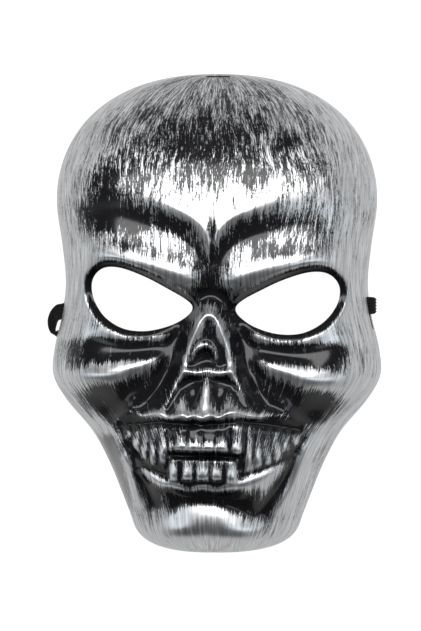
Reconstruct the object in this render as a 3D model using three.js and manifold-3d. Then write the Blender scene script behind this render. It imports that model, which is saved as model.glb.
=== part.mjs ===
// A skull mask, pressed from one thin sheet of plastic, with the elastic band that holds it on a head.
// It lies face up on its rim. Lengths are millimetres, +Y runs to the crown and +Z out of the face.
// The origin is on the ground, under the middle of the rim.
import * as THREE from "three";
import { mergeVertices } from "three/addons/utils/BufferGeometryUtils.js";
import Module from "manifold-3d";

const wasm = await Module();
wasm.setup();

// The pressed sheet. The features stand a little turned on the outline, as on the real mask.
const MASK_WIDTH = 170;
const MASK_HEIGHT = 250;
const FOREHEAD_DEPTH = 68;
const RELIEF_HEIGHT = 10;
const SHEET_THICKNESS = 1.2;
const FACE_TURN_DEG = 1.4;
const RELIEF_FADE_HEIGHT = 24;

// The eye holes, the sockets that they lie in and the lower lids.
const EYE_LENGTH = 53.2;
const EYE_HEIGHT = 32.4;
const EYE_SPACING = 75.7;
const EYE_SHIFT = 1.4;
const EYE_LEVEL = 6;
const SOCKET_DEPTH = 6.5;
const SOCKET_WIDTH = 5;
const LID_HEIGHT = 2.4;
const LID_WIDTH = 2;

// The slots at the temples, the strips of rim below them and the arches that the band runs under.
const SLOT_LENGTH = 17;
const SLOT_HEIGHT = 4;
const SLOT_LEVEL = 0;
const STRIP_HEIGHT = 4.5;
const ARCH_HEIGHT = 3;
const ARCH_REACH = 36;

// The slot in the crown that the mask hangs by in a shop.
const HANG_SLOT_LENGTH = 12.5;
const HANG_SLOT_HEIGHT = 3;
const HANG_SLOT_ABOVE_RIM = 7.5;
const HANG_SLOT_SHIFT = 1.1;

// The elastic. Its left loop hangs slack out of its slot and its right one is drawn tight.
const BAND_WIDTH = 8.4;
const BAND_THICKNESS = 1.1;
const BAND_LEVEL = 3.9;
const LOOP_CLEARANCE = 0.35;
const LEFT_LOOP_SLACK = 7.6;
const RIGHT_LOOP_SLACK = 0.35;
const LEFT_LOOP_DROP = 12.9;
const LOOP_LIFT = 0.6;
const JOIN_GAP = 0.3;

const HALF_WIDTH = MASK_WIDTH / 2;
const HALF_HEIGHT = MASK_HEIGHT / 2;
const BOTH = [-1, 1];
const ONE = [1];

// The dome under the features, from crown to chin: level as a share of the half height, width of the half
// width, crest of the forehead's depth, and fullness, the power that squares a level section.
const SECTIONS = [
  { level: 1.0, width: 0.985, crest: 1.0, fullness: 3.0 },
  { level: 0.72, width: 0.985, crest: 1.0, fullness: 3.0 },
  { level: 0.45, width: 0.985, crest: 1.0, fullness: 3.1 },
  { level: 0.28, width: 0.95, crest: 0.99, fullness: 3.3 },
  { level: 0.13, width: 0.93, crest: 0.95, fullness: 3.5 },
  { level: 0.0, width: 0.95, crest: 0.92, fullness: 3.6 },
  { level: -0.15, width: 1.0, crest: 0.92, fullness: 3.8 },
  { level: -0.26, width: 1.005, crest: 0.92, fullness: 3.7 },
  { level: -0.36, width: 0.925, crest: 0.94, fullness: 3.1 },
  { level: -0.49, width: 0.765, crest: 0.98, fullness: 2.6 },
  { level: -0.62, width: 0.66, crest: 0.98, fullness: 2.4 },
  { level: -0.76, width: 0.575, crest: 0.92, fullness: 2.6 },
  { level: -0.88, width: 0.51, crest: 0.88, fullness: 2.9 },
  { level: -1.0, width: 0.47, crest: 0.86, fullness: 3.0 },
];
// Where the crown and the chin start to round off, as shares of the half height, and their powers.
const CROWN = { outlineFrom: 0.448, outlinePower: 2.3, crestFrom: 0.232, crestPower: 1.9, rise: 0.58 };
const CHIN = { outlineFrom: 0.864, outlinePower: 2.6, crestFrom: 0.848, crestPower: 3.4, rise: 0.36 };

// How far a tooth stands out at its middle, in shares of its height, and how much more it does at its foot.
const TOOTH_LEAN = { middle: 0.52, foot: 0.48 };

// The outline of an eye hole, in shares of its half length towards the nose and of its half height up.
const EYE_OUTLINE = [
  { nose: -1.0, up: 0.38 },
  { nose: -0.93, up: 0.76 },
  { nose: -0.72, up: 1.0 },
  { nose: -0.38, up: 0.99 },
  { nose: 0.1, up: 0.72 },
  { nose: 0.55, up: 0.35 },
  { nose: 0.86, up: 0.06 },
  { nose: 1.0, up: -0.18 },
  { nose: 0.93, up: -0.45 },
  { nose: 0.62, up: -0.78 },
  { nose: 0.16, up: -0.99 },
  { nose: -0.3, up: -0.95 },
  { nose: -0.68, up: -0.62 },
  { nose: -0.92, up: -0.12 },
];

// The raised and sunk lines of the face. In the rows across, reach and half are hundredths of the half
// width, up, top and bottom are hundredths of the half height, and height is hundredths of the relief's
// height. A line with BOTH sides is repeated on the other half of the face.
const CRESTS = [
  { name: "frown valley", sides: BOTH, rows: [
    { across: 74.2, up: 39.2, reach: 11.8, height: -12 },
    { across: 56.4, up: 39.2, reach: 12.4, height: -26 },
    { across: 37.6, up: 36.4, reach: 11.2, height: -34 },
    { across: 21.2, up: 32.4, reach: 8.2, height: -38 },
    { across: 10, up: 27.2, reach: 6.1, height: -32 },
    { across: 4.2, up: 21.6, reach: 4, height: -18 },
  ] },
  { name: "edge of the frown", sides: BOTH, rows: [
    { across: 37.6, up: 46.4, reach: 4.1, height: 5 },
    { across: 24.8, up: 43.2, reach: 3.8, height: 12 },
    { across: 13, up: 39.6, reach: 3.3, height: 17 },
    { across: 5.8, up: 35.2, reach: 2.8, height: 18 },
    { across: 2.6, up: 29.6, reach: 2.1, height: 14 },
    { across: 1.4, up: 24, reach: 1.9, height: 6 },
  ] },
  { name: "crease of the frown", sides: ONE, rows: [
    { across: 1, up: 36.8, reach: 1.3, height: -4 },
    { across: 1, up: 30.4, reach: 1.4, height: -16 },
    { across: 0.8, up: 24, reach: 1.6, height: -18 },
    { across: 0.2, up: 19.2, reach: 1.6, height: -10 },
  ] },
  { name: "brow", sides: BOTH, rows: [
    { across: 84.5, up: 22.5, reach: 8.9, height: 5 },
    { across: 68, up: 22.5, reach: 8.9, height: 28 },
    { across: 48, up: 20, reach: 8.9, height: 48 },
    { across: 30.5, up: 17, reach: 8.7, height: 56 },
    { across: 15.5, up: 13.5, reach: 7.8, height: 50 },
    { across: 6, up: 11, reach: 5.6, height: 30 },
  ] },
  { name: "cheekbone", sides: BOTH, rows: [
    { across: 92, up: -31, reach: 9.4, height: 14 },
    { across: 77.5, up: -29, reach: 8, height: 30 },
    { across: 61, up: -27, reach: 7.5, height: 40 },
    { across: 47, up: -24, reach: 7.3, height: 38 },
    { across: 34, up: -20, reach: 6.4, height: 24 },
  ] },
  { name: "trough under the eye", sides: BOTH, rows: [
    { across: 80, up: -10.5, reach: 7.6, height: -12 },
    { across: 66, up: -13.5, reach: 7.6, height: -26 },
    { across: 49.5, up: -15.5, reach: 7.1, height: -32 },
    { across: 33, up: -14.5, reach: 6.6, height: -34 },
    { across: 21, up: -9.5, reach: 6.1, height: -26 },
  ] },
  { name: "side of the nose", sides: BOTH, rows: [
    { across: 13, up: 1, reach: 7.1, height: -50 },
    { across: 19, up: -9, reach: 7.1, height: -60 },
    { across: 23.5, up: -19, reach: 7.1, height: -60 },
    { across: 29.5, up: -29, reach: 7.1, height: -52 },
    { across: 36.5, up: -37, reach: 7.1, height: -30 },
  ] },
  { name: "crest round the nose", sides: BOTH, rows: [
    { across: 1.8, up: -1, reach: 1.9, height: 16 },
    { across: 5.2, up: -3.4, reach: 1.9, height: 22 },
    { across: 8.2, up: -8.3, reach: 1.9, height: 26 },
    { across: 11.4, up: -14.2, reach: 1.9, height: 26 },
    { across: 13.8, up: -19.7, reach: 1.9, height: 26 },
    { across: 14.8, up: -24.8, reach: 2, height: 24 },
    { across: 18.4, up: -28.8, reach: 1.9, height: 20 },
    { across: 21.8, up: -33.6, reach: 1.9, height: 19 },
    { across: 24.6, up: -37.6, reach: 1.9, height: 16 },
    { across: 28.2, up: -41.3, reach: 1.9, height: 9 },
  ] },
  { name: "nose and upper jaw", sides: ONE, rows: [
    { across: 0, up: 1, reach: 7.1, height: 70 },
    { across: 0, up: -5, reach: 10.6, height: 90 },
    { across: 0, up: -14.5, reach: 15.3, height: 95 },
    { across: 0, up: -24, reach: 20, height: 90 },
    { across: 0, up: -33.5, reach: 25.9, height: 90 },
    { across: 0, up: -43, reach: 30.6, height: 90 },
  ] },
  { name: "nose opening", sides: ONE, rows: [
    { across: 0, up: -4.8, reach: 3.5, height: -40 },
    { across: 0, up: -10.4, reach: 5.6, height: -60 },
    { across: 0, up: -16, reach: 7.8, height: -70 },
    { across: 0, up: -20, reach: 8.9, height: -70 },
  ] },
  { name: "arch in the opening", sides: ONE, rows: [
    { across: -10.4, up: -20, reach: 1.6, height: 14 },
    { across: -8, up: -16.3, reach: 1.8, height: 28 },
    { across: -5.2, up: -14.1, reach: 1.9, height: 36 },
    { across: -1, up: -13.3, reach: 2, height: 40 },
    { across: 2.6, up: -15.4, reach: 1.9, height: 36 },
    { across: 4.4, up: -17.9, reach: 1.8, height: 28 },
    { across: 6.4, up: -20.8, reach: 1.6, height: 14 },
  ] },
  { name: "sill of the opening", sides: ONE, rows: [
    { across: -14.4, up: -24.4, reach: 2.6, height: 22 },
    { across: -7, up: -25, reach: 2.9, height: 28 },
    { across: 0, up: -23.4, reach: 3.5, height: 36 },
    { across: 7, up: -24.8, reach: 2.9, height: 28 },
    { across: 14.4, up: -24, reach: 2.6, height: 22 },
  ] },
  { name: "root between the incisors", sides: ONE, rows: [
    { across: -1, up: -28, reach: 1.6, height: 10 },
    { across: -0.8, up: -33.6, reach: 2.6, height: 24 },
    { across: -0.8, up: -38, reach: 4.7, height: 36 },
    { across: -0.8, up: -41.6, reach: 6.6, height: 40 },
  ] },
  { name: "left root", sides: ONE, rows: [
    { across: -15, up: -33.6, reach: 1.9, height: 8 },
    { across: -14.8, up: -37.6, reach: 3.5, height: 28 },
    { across: -14.6, up: -41.9, reach: 4.9, height: 38 },
  ] },
  { name: "right root", sides: ONE, rows: [
    { across: 14.2, up: -32, reach: 2.6, height: 10 },
    { across: 15.2, up: -36.4, reach: 4.9, height: 30 },
    { across: 15.8, up: -41.2, reach: 6.4, height: 38 },
  ] },
  { name: "vault under the sill", sides: BOTH, rows: [
    { across: 4.2, up: -28.8, reach: 3.1, height: -16 },
    { across: 9.8, up: -28.2, reach: 3.8, height: -26 },
    { across: 14.8, up: -31.6, reach: 3.5, height: -24 },
    { across: 17, up: -36, reach: 3.1, height: -14 },
  ] },
  { name: "upper gum", sides: ONE, rows: [
    { across: -56.4, up: -45.6, reach: 2.1, height: 10 },
    { across: -47, up: -41.9, reach: 2.4, height: 20 },
    { across: -38.8, up: -43, reach: 2.2, height: 22 },
    { across: -30.6, up: -41.8, reach: 2.4, height: 26 },
    { across: -22.4, up: -43.7, reach: 2.2, height: 28 },
    { across: -14.8, up: -42.4, reach: 2.2, height: 28 },
    { across: -11.2, up: -43.8, reach: 2.1, height: 28 },
    { across: -6.4, up: -42.2, reach: 2.2, height: 29 },
    { across: -1.8, up: -44, reach: 2.1, height: 30 },
    { across: 3.2, up: -41.9, reach: 2.2, height: 29 },
    { across: 8, up: -43.5, reach: 2.1, height: 28 },
    { across: 12.2, up: -41.6, reach: 2.2, height: 28 },
    { across: 18.8, up: -40.5, reach: 2.4, height: 30 },
    { across: 28.2, up: -42.2, reach: 2.4, height: 24 },
    { across: 37.6, up: -41.1, reach: 2.4, height: 22 },
    { across: 48.2, up: -42.1, reach: 2.4, height: 18 },
    { across: 58.8, up: -44.8, reach: 2.1, height: 8 },
  ] },
  { name: "groove under the upper gum", sides: ONE, rows: [
    { across: -51.8, up: -47.6, reach: 2.4, height: -10 },
    { across: -35.2, up: -46.1, reach: 2.4, height: -18 },
    { across: -23.6, up: -45.6, reach: 2.4, height: -24 },
    { across: -9.4, up: -45.8, reach: 2.4, height: -28 },
    { across: 4.8, up: -45.4, reach: 2.4, height: -28 },
    { across: 18.8, up: -44.6, reach: 2.4, height: -24 },
    { across: 33, up: -45.3, reach: 2.4, height: -18 },
    { across: 54.2, up: -47.2, reach: 2.4, height: -10 },
  ] },
  { name: "recess of the upper teeth", sides: ONE, rows: [
    { across: -49.5, up: -49, reach: 7.1, height: -10 },
    { across: -28, up: -52, reach: 9.4, height: -24 },
    { across: 0, up: -50.5, reach: 8.2, height: -28 },
    { across: 26, up: -53, reach: 9.4, height: -24 },
    { across: 54, up: -49.5, reach: 7.1, height: -10 },
  ] },
  { name: "recess of the lower teeth", sides: ONE, rows: [
    { across: -26, up: -62.5, reach: 5.2, height: -10 },
    { across: -16.5, up: -62.5, reach: 5.4, height: -18 },
    { across: 0, up: -62.5, reach: 5.4, height: -20 },
    { across: 16.5, up: -63, reach: 5.4, height: -18 },
    { across: 26, up: -62.5, reach: 5.2, height: -10 },
  ] },
  { name: "lower gum", sides: ONE, rows: [
    { across: -50.6, up: -60.8, reach: 2.6, height: 12 },
    { across: -44.8, up: -64.4, reach: 2.8, height: 18 },
    { across: -36.4, up: -67.2, reach: 2.6, height: 22 },
    { across: -28.2, up: -70.4, reach: 2.8, height: 24 },
    { across: -18.8, up: -71.5, reach: 2.6, height: 28 },
    { across: -9.4, up: -73.3, reach: 2.8, height: 26 },
    { across: -1.2, up: -72.2, reach: 2.6, height: 30 },
    { across: 7, up: -73.1, reach: 2.8, height: 26 },
    { across: 15.2, up: -71.7, reach: 3.1, height: 30 },
    { across: 25.8, up: -70.4, reach: 4.2, height: 24 },
    { across: 37.6, up: -66.8, reach: 5.4, height: 26 },
    { across: 49.4, up: -60.4, reach: 4.5, height: 16 },
  ] },
  { name: "line between the rows of teeth", sides: ONE, rows: [
    { across: -23.6, up: -58.4, reach: 1.9, height: -10 },
    { across: -17.6, up: -58.9, reach: 2.2, height: -36 },
    { across: -5.8, up: -58.9, reach: 2.4, height: -44 },
    { across: 5.8, up: -58.9, reach: 2.4, height: -44 },
    { across: 16.4, up: -59, reach: 2.2, height: -36 },
    { across: 22.4, up: -58.9, reach: 1.9, height: -10 },
  ] },
  { name: "left end of the teeth", sides: ONE, rows: [
    { across: -54.2, up: -49.6, reach: 1.9, height: -6 },
    { across: -48.2, up: -55.6, reach: 2.1, height: -12 },
    { across: -40, up: -61.6, reach: 2.2, height: -15 },
    { across: -30.6, up: -65.6, reach: 2.2, height: -15 },
    { across: -22.4, up: -67.2, reach: 2.1, height: -12 },
  ] },
  { name: "right end of the teeth", sides: ONE, rows: [
    { across: 58.8, up: -51.2, reach: 1.9, height: -6 },
    { across: 51.8, up: -56.8, reach: 2.1, height: -12 },
    { across: 42.4, up: -61.6, reach: 2.2, height: -15 },
    { across: 31.8, up: -64.8, reach: 2.2, height: -15 },
    { across: 22.4, up: -67.2, reach: 2.1, height: -12 },
  ] },
  { name: "crest of the chin", sides: ONE, rows: [
    { across: -33, up: -96.5, reach: 7.5, height: 36 },
    { across: -22.5, up: -93.5, reach: 7.8, height: 58 },
    { across: -10.5, up: -89, reach: 7.8, height: 46 },
    { across: 1, up: -84.5, reach: 7.8, height: 28 },
    { across: 13, up: -88.5, reach: 7.8, height: 38 },
    { across: 23.5, up: -93, reach: 7.8, height: 46 },
    { across: 34, up: -96.5, reach: 7.5, height: 30 },
  ] },
  { name: "left jaw", sides: ONE, rows: [
    { across: -67, up: -47, reach: 4.9, height: 16 },
    { across: -56.5, up: -52, reach: 4.7, height: 44 },
    { across: -52.5, up: -58.5, reach: 4.7, height: 56 },
    { across: -48, up: -67, reach: 5.2, height: 50 },
    { across: -42.5, up: -78.5, reach: 5.6, height: 30 },
  ] },
  { name: "groove in the left jaw", sides: ONE, rows: [
    { across: -44.8, up: -62.4, reach: 3.8, height: -12 },
    { across: -38.8, up: -70.4, reach: 4.2, height: -28 },
    { across: -31.8, up: -79.2, reach: 4.7, height: -24 },
  ] },
  { name: "right jaw", sides: ONE, rows: [
    { across: 68, up: -49, reach: 4.9, height: 16 },
    { across: 62, up: -55, reach: 4.7, height: 42 },
    { across: 58, up: -63, reach: 4.7, height: 54 },
    { across: 54, up: -70.5, reach: 4.9, height: 52 },
    { across: 48, up: -79, reach: 5.6, height: 34 },
  ] },
  { name: "groove in the right jaw", sides: ONE, rows: [
    { across: 53, up: -57.6, reach: 3.3, height: -12 },
    { across: 48.2, up: -64.8, reach: 3.8, height: -30 },
    { across: 42.4, up: -72.8, reach: 4.2, height: -36 },
    { across: 34.2, up: -80.8, reach: 4.7, height: -24 },
  ] },
  { name: "fold beside the mouth", sides: BOTH, rows: [
    { across: 30.6, up: -26.4, reach: 3.5, height: 4 },
    { across: 38.8, up: -32.8, reach: 4, height: 16 },
    { across: 49.4, up: -40, reach: 4.2, height: 18 },
    { across: 56.4, up: -45.6, reach: 4.1, height: 8 },
  ] },
];
const MOUNDS = [
  { name: "hollow cheek", sides: BOTH,
    across: 62.5, up: -40, wide: 17.6, tall: 10, height: -65, turn: 20 },
  { name: "inner hollow of the cheek", sides: BOTH,
    across: 42.5, up: -33.6, wide: 10.6, tall: 9.4, height: -30, turn: 10 },
  { name: "root of the nose", sides: ONE,
    across: 0, up: 8, wide: 12.9, tall: 9.4, height: -70, turn: 0 },
  { name: "hollow under the sill", sides: BOTH,
    across: 8, up: -33.2, wide: 4.7, tall: 8.2, height: -30, turn: 0 },
  { name: "small bead beside the nose", sides: ONE,
    across: 25.5, up: -30, wide: 3.1, tall: 5.4, height: 18, turn: 12 },
  { name: "muzzle", sides: ONE,
    across: 0, up: -60, wide: 47.1, tall: 30.6, height: 80, turn: 0 },
  { name: "hollow under the lip", sides: ONE,
    across: 4.5, up: -77.2, wide: 22.4, tall: 6.5, height: -34, turn: -4 },
  { name: "left of the hollow under the lip", sides: ONE,
    across: -16.5, up: -78.8, wide: 8.2, tall: 7.1, height: -20, turn: 30 },
  { name: "right of the hollow under the lip", sides: ONE,
    across: 20, up: -80.4, wide: 9.4, tall: 7.1, height: -24, turn: -30 },
  { name: "dent beside the chin", sides: ONE,
    across: 33, up: -84, wide: 9.4, tall: 7.1, height: -30, turn: 0 },
];
const UPPER_TEETH = [
  { across: -48.8, top: -45.6, bottom: -53.6, half: 2.4, height: 22 },
  { across: -43.2, top: -45.2, bottom: -57.2, half: 2.5, height: 26 },
  { across: -37.6, top: -45.2, bottom: -60.8, half: 2.5, height: 30 },
  { across: -32, top: -45.2, bottom: -63.2, half: 2.5, height: 34 },
  { across: -26.2, top: -44.8, bottom: -62.4, half: 2.8, height: 44 },
  { across: -21, top: -45.2, bottom: -57.6, half: 1.8, height: 26 },
  { across: -15.6, top: -46.4, bottom: -57, half: 3.2, height: 44 },
  { across: -7.4, top: -46.4, bottom: -57.2, half: 4.6, height: 50 },
  { across: 2.8, top: -46.4, bottom: -57.2, half: 4.7, height: 50 },
  { across: 11, top: -46.4, bottom: -57, half: 3.2, height: 44 },
  { across: 19.6, top: -43.6, bottom: -58.4, half: 3.5, height: 48 },
  { across: 26.4, top: -44.8, bottom: -64, half: 2.4, height: 38 },
  { across: 31.8, top: -45.2, bottom: -63.2, half: 2.4, height: 34 },
  { across: 37.2, top: -45.2, bottom: -61.6, half: 2.4, height: 30 },
  { across: 42.6, top: -45.2, bottom: -59.6, half: 2.4, height: 28 },
  { across: 48, top: -45.6, bottom: -56.8, half: 2.4, height: 24 },
  { across: 53.4, top: -46, bottom: -54, half: 2.4, height: 18 },
];
const LOWER_TEETH = [
  { across: -19.2, top: -59.6, bottom: -69.2, half: 2.9, height: 44 },
  { across: -10.4, top: -61.2, bottom: -69.2, half: 3.5, height: 42 },
  { across: -1.4, top: -61.2, bottom: -69.2, half: 3.6, height: 42 },
  { across: 7.6, top: -61.2, bottom: -69, half: 3.5, height: 42 },
  { across: 16.2, top: -59.6, bottom: -69.6, half: 3.2, height: 48 },
];

// The route that the elastic lies along, on its edge, from the left loop to the right one.
const BAND_ROUTE = [
  [-73.6, 3.5],
  [-73, 18],
  [-67.5, 38],
  [-51, 57],
  [-27, 66],
  [-5, 58],
  [17, 45],
  [41, 48],
  [60, 42],
  [70.5, 25],
  [72.6, 10],
];
const BAND_STEPS = 72;

// How finely the sheet is divided, and how much of that goes to its edges.
const COLUMNS = 52;
const COLUMN_CROWDING = 0.42;
const ROWS = [
  { from: 1.0, to: 0.9, count: 4, power: 2 },
  { from: 0.9, to: 0.42, count: 6, power: 1 },
  { from: 0.42, to: -0.76, count: 31, power: 1 },
  { from: -0.76, to: -0.92, count: 3, power: 1 },
  { from: -0.92, to: -1.0, count: 4, power: 0.5 },
];

const plastic = new THREE.MeshStandardMaterial({ color: 0x8a8c90, roughness: 0.35, metalness: 0.6 });
const elastic = new THREE.MeshStandardMaterial({ color: 0x111113, roughness: 0.9, metalness: 0 });

const clamp = THREE.MathUtils.clamp;
const smooth = (x, from, to) => THREE.MathUtils.smoothstep(x, from, to);
const turn = THREE.MathUtils.degToRad(FACE_TURN_DEG);

// A value between the rows of a table, along a smooth curve.
function between(table, key, column, at) {
  const rows = [...table].sort((a, b) => a[key] - b[key]);
  const last = rows.length - 1;
  const slope = (i) => {
    const a = rows[Math.max(i - 1, 0)];
    const b = rows[Math.min(i + 1, last)];
    return (b[column] - a[column]) / (b[key] - a[key]);
  };
  let i = 0;
  while (i < last - 1 && rows[i + 1][key] < at) {
    i += 1;
  }
  const span = rows[i + 1][key] - rows[i][key];
  const t = clamp((at - rows[i][key]) / span, 0, 1);
  const start = (2 * t ** 3 - 3 * t ** 2 + 1) * rows[i][column];
  const leave = (t ** 3 - 2 * t ** 2 + t) * span * slope(i);
  const end = (3 * t ** 2 - 2 * t ** 3) * rows[i + 1][column];
  const arrive = (t ** 3 - t ** 2) * span * slope(i + 1);
  return start + leave + end + arrive;
}

// How far a level is into the round of the crown or the chin, from 0 where it starts to 1 at the end.
const into = (level, from) => clamp((level - from) / (1 - from), 0, 1);

function halfWidth(y) {
  const level = y / HALF_HEIGHT;
  const crown = 1 - into(level, CROWN.outlineFrom) ** CROWN.outlinePower;
  const chin = 1 - into(-level, CHIN.outlineFrom) ** CHIN.outlinePower;
  const round = crown ** (1 / CROWN.outlinePower) * chin ** (1 / CHIN.outlinePower);
  return HALF_WIDTH * between(SECTIONS, "level", "width", level) * round;
}

function domeHeight(across, y) {
  const level = y / HALF_HEIGHT;
  const crown = 1 - into(level, CROWN.crestFrom) ** CROWN.crestPower;
  const chin = 1 - into(-level, CHIN.crestFrom) ** CHIN.crestPower;
  const crest = FOREHEAD_DEPTH * between(SECTIONS, "level", "crest", level);
  const side = Math.sqrt(1 - Math.abs(across) ** between(SECTIONS, "level", "fullness", level));
  return crest * crown ** CROWN.rise * chin ** CHIN.rise * side;
}

// A smooth line through rows of numbers, as short straight pieces.
function smoothLine(rows, steps, closed) {
  const curves = rows[0].map((_, column) => new THREE.CatmullRomCurve3(
    rows.map((row, i) => new THREE.Vector3(row[column], i, 0)), closed, "catmullrom", 0.5));
  const count = (closed ? rows.length : rows.length - 1) * steps;
  const out = [];
  for (let k = 0; k <= (closed ? count - 1 : count); k += 1) {
    out.push(curves.map((curve) => curve.getPoint(k / count).x));
  }
  return out;
}

// The nearest place on a line to a point: how far off it is, in which piece, and how far along it.
function nearest(line, x, y) {
  let best = { distance: Infinity, index: 0, share: 0 };
  for (let i = 0; i + 1 < line.length; i += 1) {
    const [ax, ay] = line[i];
    const dx = line[i + 1][0] - ax;
    const dy = line[i + 1][1] - ay;
    const share = clamp(((x - ax) * dx + (y - ay) * dy) / (dx * dx + dy * dy), 0, 1);
    const distance = Math.hypot(x - ax - share * dx, y - ay - share * dy);
    if (distance < best.distance) {
      best = { distance, index: i, share };
    }
  }
  return best;
}

const LINE_STEPS = 4;
const crestLines = CRESTS.flatMap(({ sides, rows }) => sides.map((side) => smoothLine(rows.map((row) => [
  side * row.across / 100 * HALF_WIDTH,
  row.up / 100 * HALF_HEIGHT,
  row.reach / 100 * HALF_WIDTH,
  row.height / 100 * RELIEF_HEIGHT,
]), LINE_STEPS, false)));

function crestHeight(line, x, y) {
  const { distance, index, share } = nearest(line, x, y);
  const reach = THREE.MathUtils.lerp(line[index][2], line[index + 1][2], share);
  const height = THREE.MathUtils.lerp(line[index][3], line[index + 1][3], share);
  return height * Math.exp(-((distance / reach) ** 2));
}

function moundHeight(mound, side, x, y) {
  const angle = THREE.MathUtils.degToRad(side * mound.turn);
  const dx = x - side * mound.across / 100 * HALF_WIDTH;
  const dy = y - mound.up / 100 * HALF_HEIGHT;
  const along = (dx * Math.cos(angle) + dy * Math.sin(angle)) / (mound.wide / 100 * HALF_WIDTH);
  const over = (dy * Math.cos(angle) - dx * Math.sin(angle)) / (mound.tall / 100 * HALF_WIDTH);
  return mound.height / 100 * RELIEF_HEIGHT * Math.exp(-(along ** 2) - over ** 2);
}

function toothHeight(tooth, x, y) {
  const middle = (tooth.top + tooth.bottom) / 200 * HALF_HEIGHT;
  const half = (tooth.top - tooth.bottom) / 200 * HALF_HEIGHT;
  const across = (x - tooth.across / 100 * HALF_WIDTH) / (tooth.half / 100 * HALF_WIDTH);
  const along = (y - middle) / half;
  const lean = TOOTH_LEAN.middle - TOOTH_LEAN.foot * along;
  return tooth.height / 100 * RELIEF_HEIGHT * lean * Math.exp(-(across ** 4) - along ** 6);
}

// The middle of each eye, and its outline, in the turned frame of the features.
const EYE_STEPS = 3;
const eyes = BOTH.map((side) => {
  const x = EYE_SHIFT + side * EYE_SPACING / 2;
  const outline = smoothLine(EYE_OUTLINE.map((point) => [
    x - side * point.nose * EYE_LENGTH / 2,
    EYE_LEVEL + point.up * EYE_HEIGHT / 2,
  ]), EYE_STEPS, true);
  return { x, outline, closed: [...outline, outline[0]] };
});

function insideOutline(outline, x, y) {
  let inside = false;
  outline.forEach(([ax, ay], i) => {
    const [bx, by] = outline[(i + 1) % outline.length];
    if ((ay > y) !== (by > y) && x < (bx - ax) * (y - ay) / (by - ay) + ax) {
      inside = !inside;
    }
  });
  return inside;
}

function socketHeight(eye, x, y) {
  const side = insideOutline(eye.outline, x, y) ? -1 : 1;
  const distance = side * nearest(eye.closed, x, y).distance;
  const floor = -SOCKET_DEPTH * (1 - smooth(distance, -SOCKET_WIDTH / 5, SOCKET_WIDTH));
  const below = 1 - smooth(y, EYE_LEVEL - SOCKET_WIDTH * 2.4, EYE_LEVEL - SOCKET_WIDTH * 0.4);
  const lidAt = SOCKET_WIDTH + LID_WIDTH * 0.3;
  return floor + LID_HEIGHT * below * Math.exp(-(((distance - lidAt) / LID_WIDTH) ** 2));
}

// From the frame of the outline to the turned frame of the features.
const featureX = (x, y) => x * Math.cos(turn) - y * Math.sin(turn);
const featureY = (x, y) => x * Math.sin(turn) + y * Math.cos(turn);

function reliefHeight(x, y) {
  const fx = featureX(x, y);
  const fy = featureY(x, y);
  const lines = crestLines.reduce((sum, line) => sum + crestHeight(line, fx, fy), 0);
  const mounds = MOUNDS.reduce((sum, mound) => (
    mound.sides.reduce((part, side) => part + moundHeight(mound, side, fx, fy), sum)), 0);
  const teeth = [...UPPER_TEETH, ...LOWER_TEETH].reduce((sum, row) => sum + toothHeight(row, fx, fy), 0);
  return lines + mounds + teeth;
}

// The rim rises in an arch under each temple, so that the band passes between it and the ground.
function rimHeight(y) {
  const share = clamp(Math.abs(y - SLOT_LEVEL) / ARCH_REACH, 0, 1);
  return ARCH_HEIGHT * (1 - share ** 2) ** 2;
}

function outerPoint(across, level) {
  const y = level * HALF_HEIGHT;
  const x = across * halfWidth(y);
  const dome = domeHeight(across, y);
  const relief = reliefHeight(x, y) * smooth(dome, 0, RELIEF_FADE_HEIGHT);
  const sockets = eyes.reduce((sum, eye) => sum + socketHeight(eye, featureX(x, y), featureY(x, y)), 0);
  const z = dome + relief + sockets * smooth(dome, 0, RELIEF_FADE_HEIGHT);
  return new THREE.Vector3(x, y, Math.max(z, rimHeight(y)));
}

// The inside follows the outside, one sheet thickness in from it towards the middle of the dome.
function innerPoint(outer, across, level) {
  const dome = domeHeight(across, level * HALF_HEIGHT) / FOREHEAD_DEPTH;
  return new THREE.Vector3(
    across * Math.max(halfWidth(level * HALF_HEIGHT) - SHEET_THICKNESS, 0),
    outer.y - SHEET_THICKNESS * level,
    Math.max(outer.z - SHEET_THICKNESS * Math.min(dome * 1.25, 1), rimHeight(outer.y)));
}

function gridLevels() {
  const levels = ROWS.flatMap(({ from, to, count, power }) => (
    Array.from({ length: count }, (_, i) => from + (to - from) * (i / count) ** power)));
  return [...levels, ROWS.at(-1).to];
}

function gridColumns() {
  return Array.from({ length: COLUMNS + 1 }, (_, i) => {
    const share = i / COLUMNS * 2 - 1;
    return (1 - COLUMN_CROWDING) * share + COLUMN_CROWDING * Math.sin(share * Math.PI / 2);
  });
}

// The whole sheet, closed round its rim, before anything is cut through it.
function sheetGeometry() {
  const levels = gridLevels();
  const columns = gridColumns();
  const outer = levels.map((level) => columns.map((across) => outerPoint(across, level)));
  const inner = levels.map((level, j) => columns.map((across, i) => innerPoint(outer[j][i], across, level)));
  const corners = [];
  const quad = (a, b, c, d) => corners.push(a, b, c, a, c, d);
  for (let j = 0; j + 1 < levels.length; j += 1) {
    for (let i = 0; i < COLUMNS; i += 1) {
      quad(outer[j + 1][i], outer[j + 1][i + 1], outer[j][i + 1], outer[j][i]);
      quad(inner[j][i], inner[j][i + 1], inner[j + 1][i + 1], inner[j + 1][i]);
    }
    quad(inner[j][0], inner[j + 1][0], outer[j + 1][0], outer[j][0]);
    quad(outer[j][COLUMNS], outer[j + 1][COLUMNS], inner[j + 1][COLUMNS], inner[j][COLUMNS]);
  }
  return geometryOf(corners);
}

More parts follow.
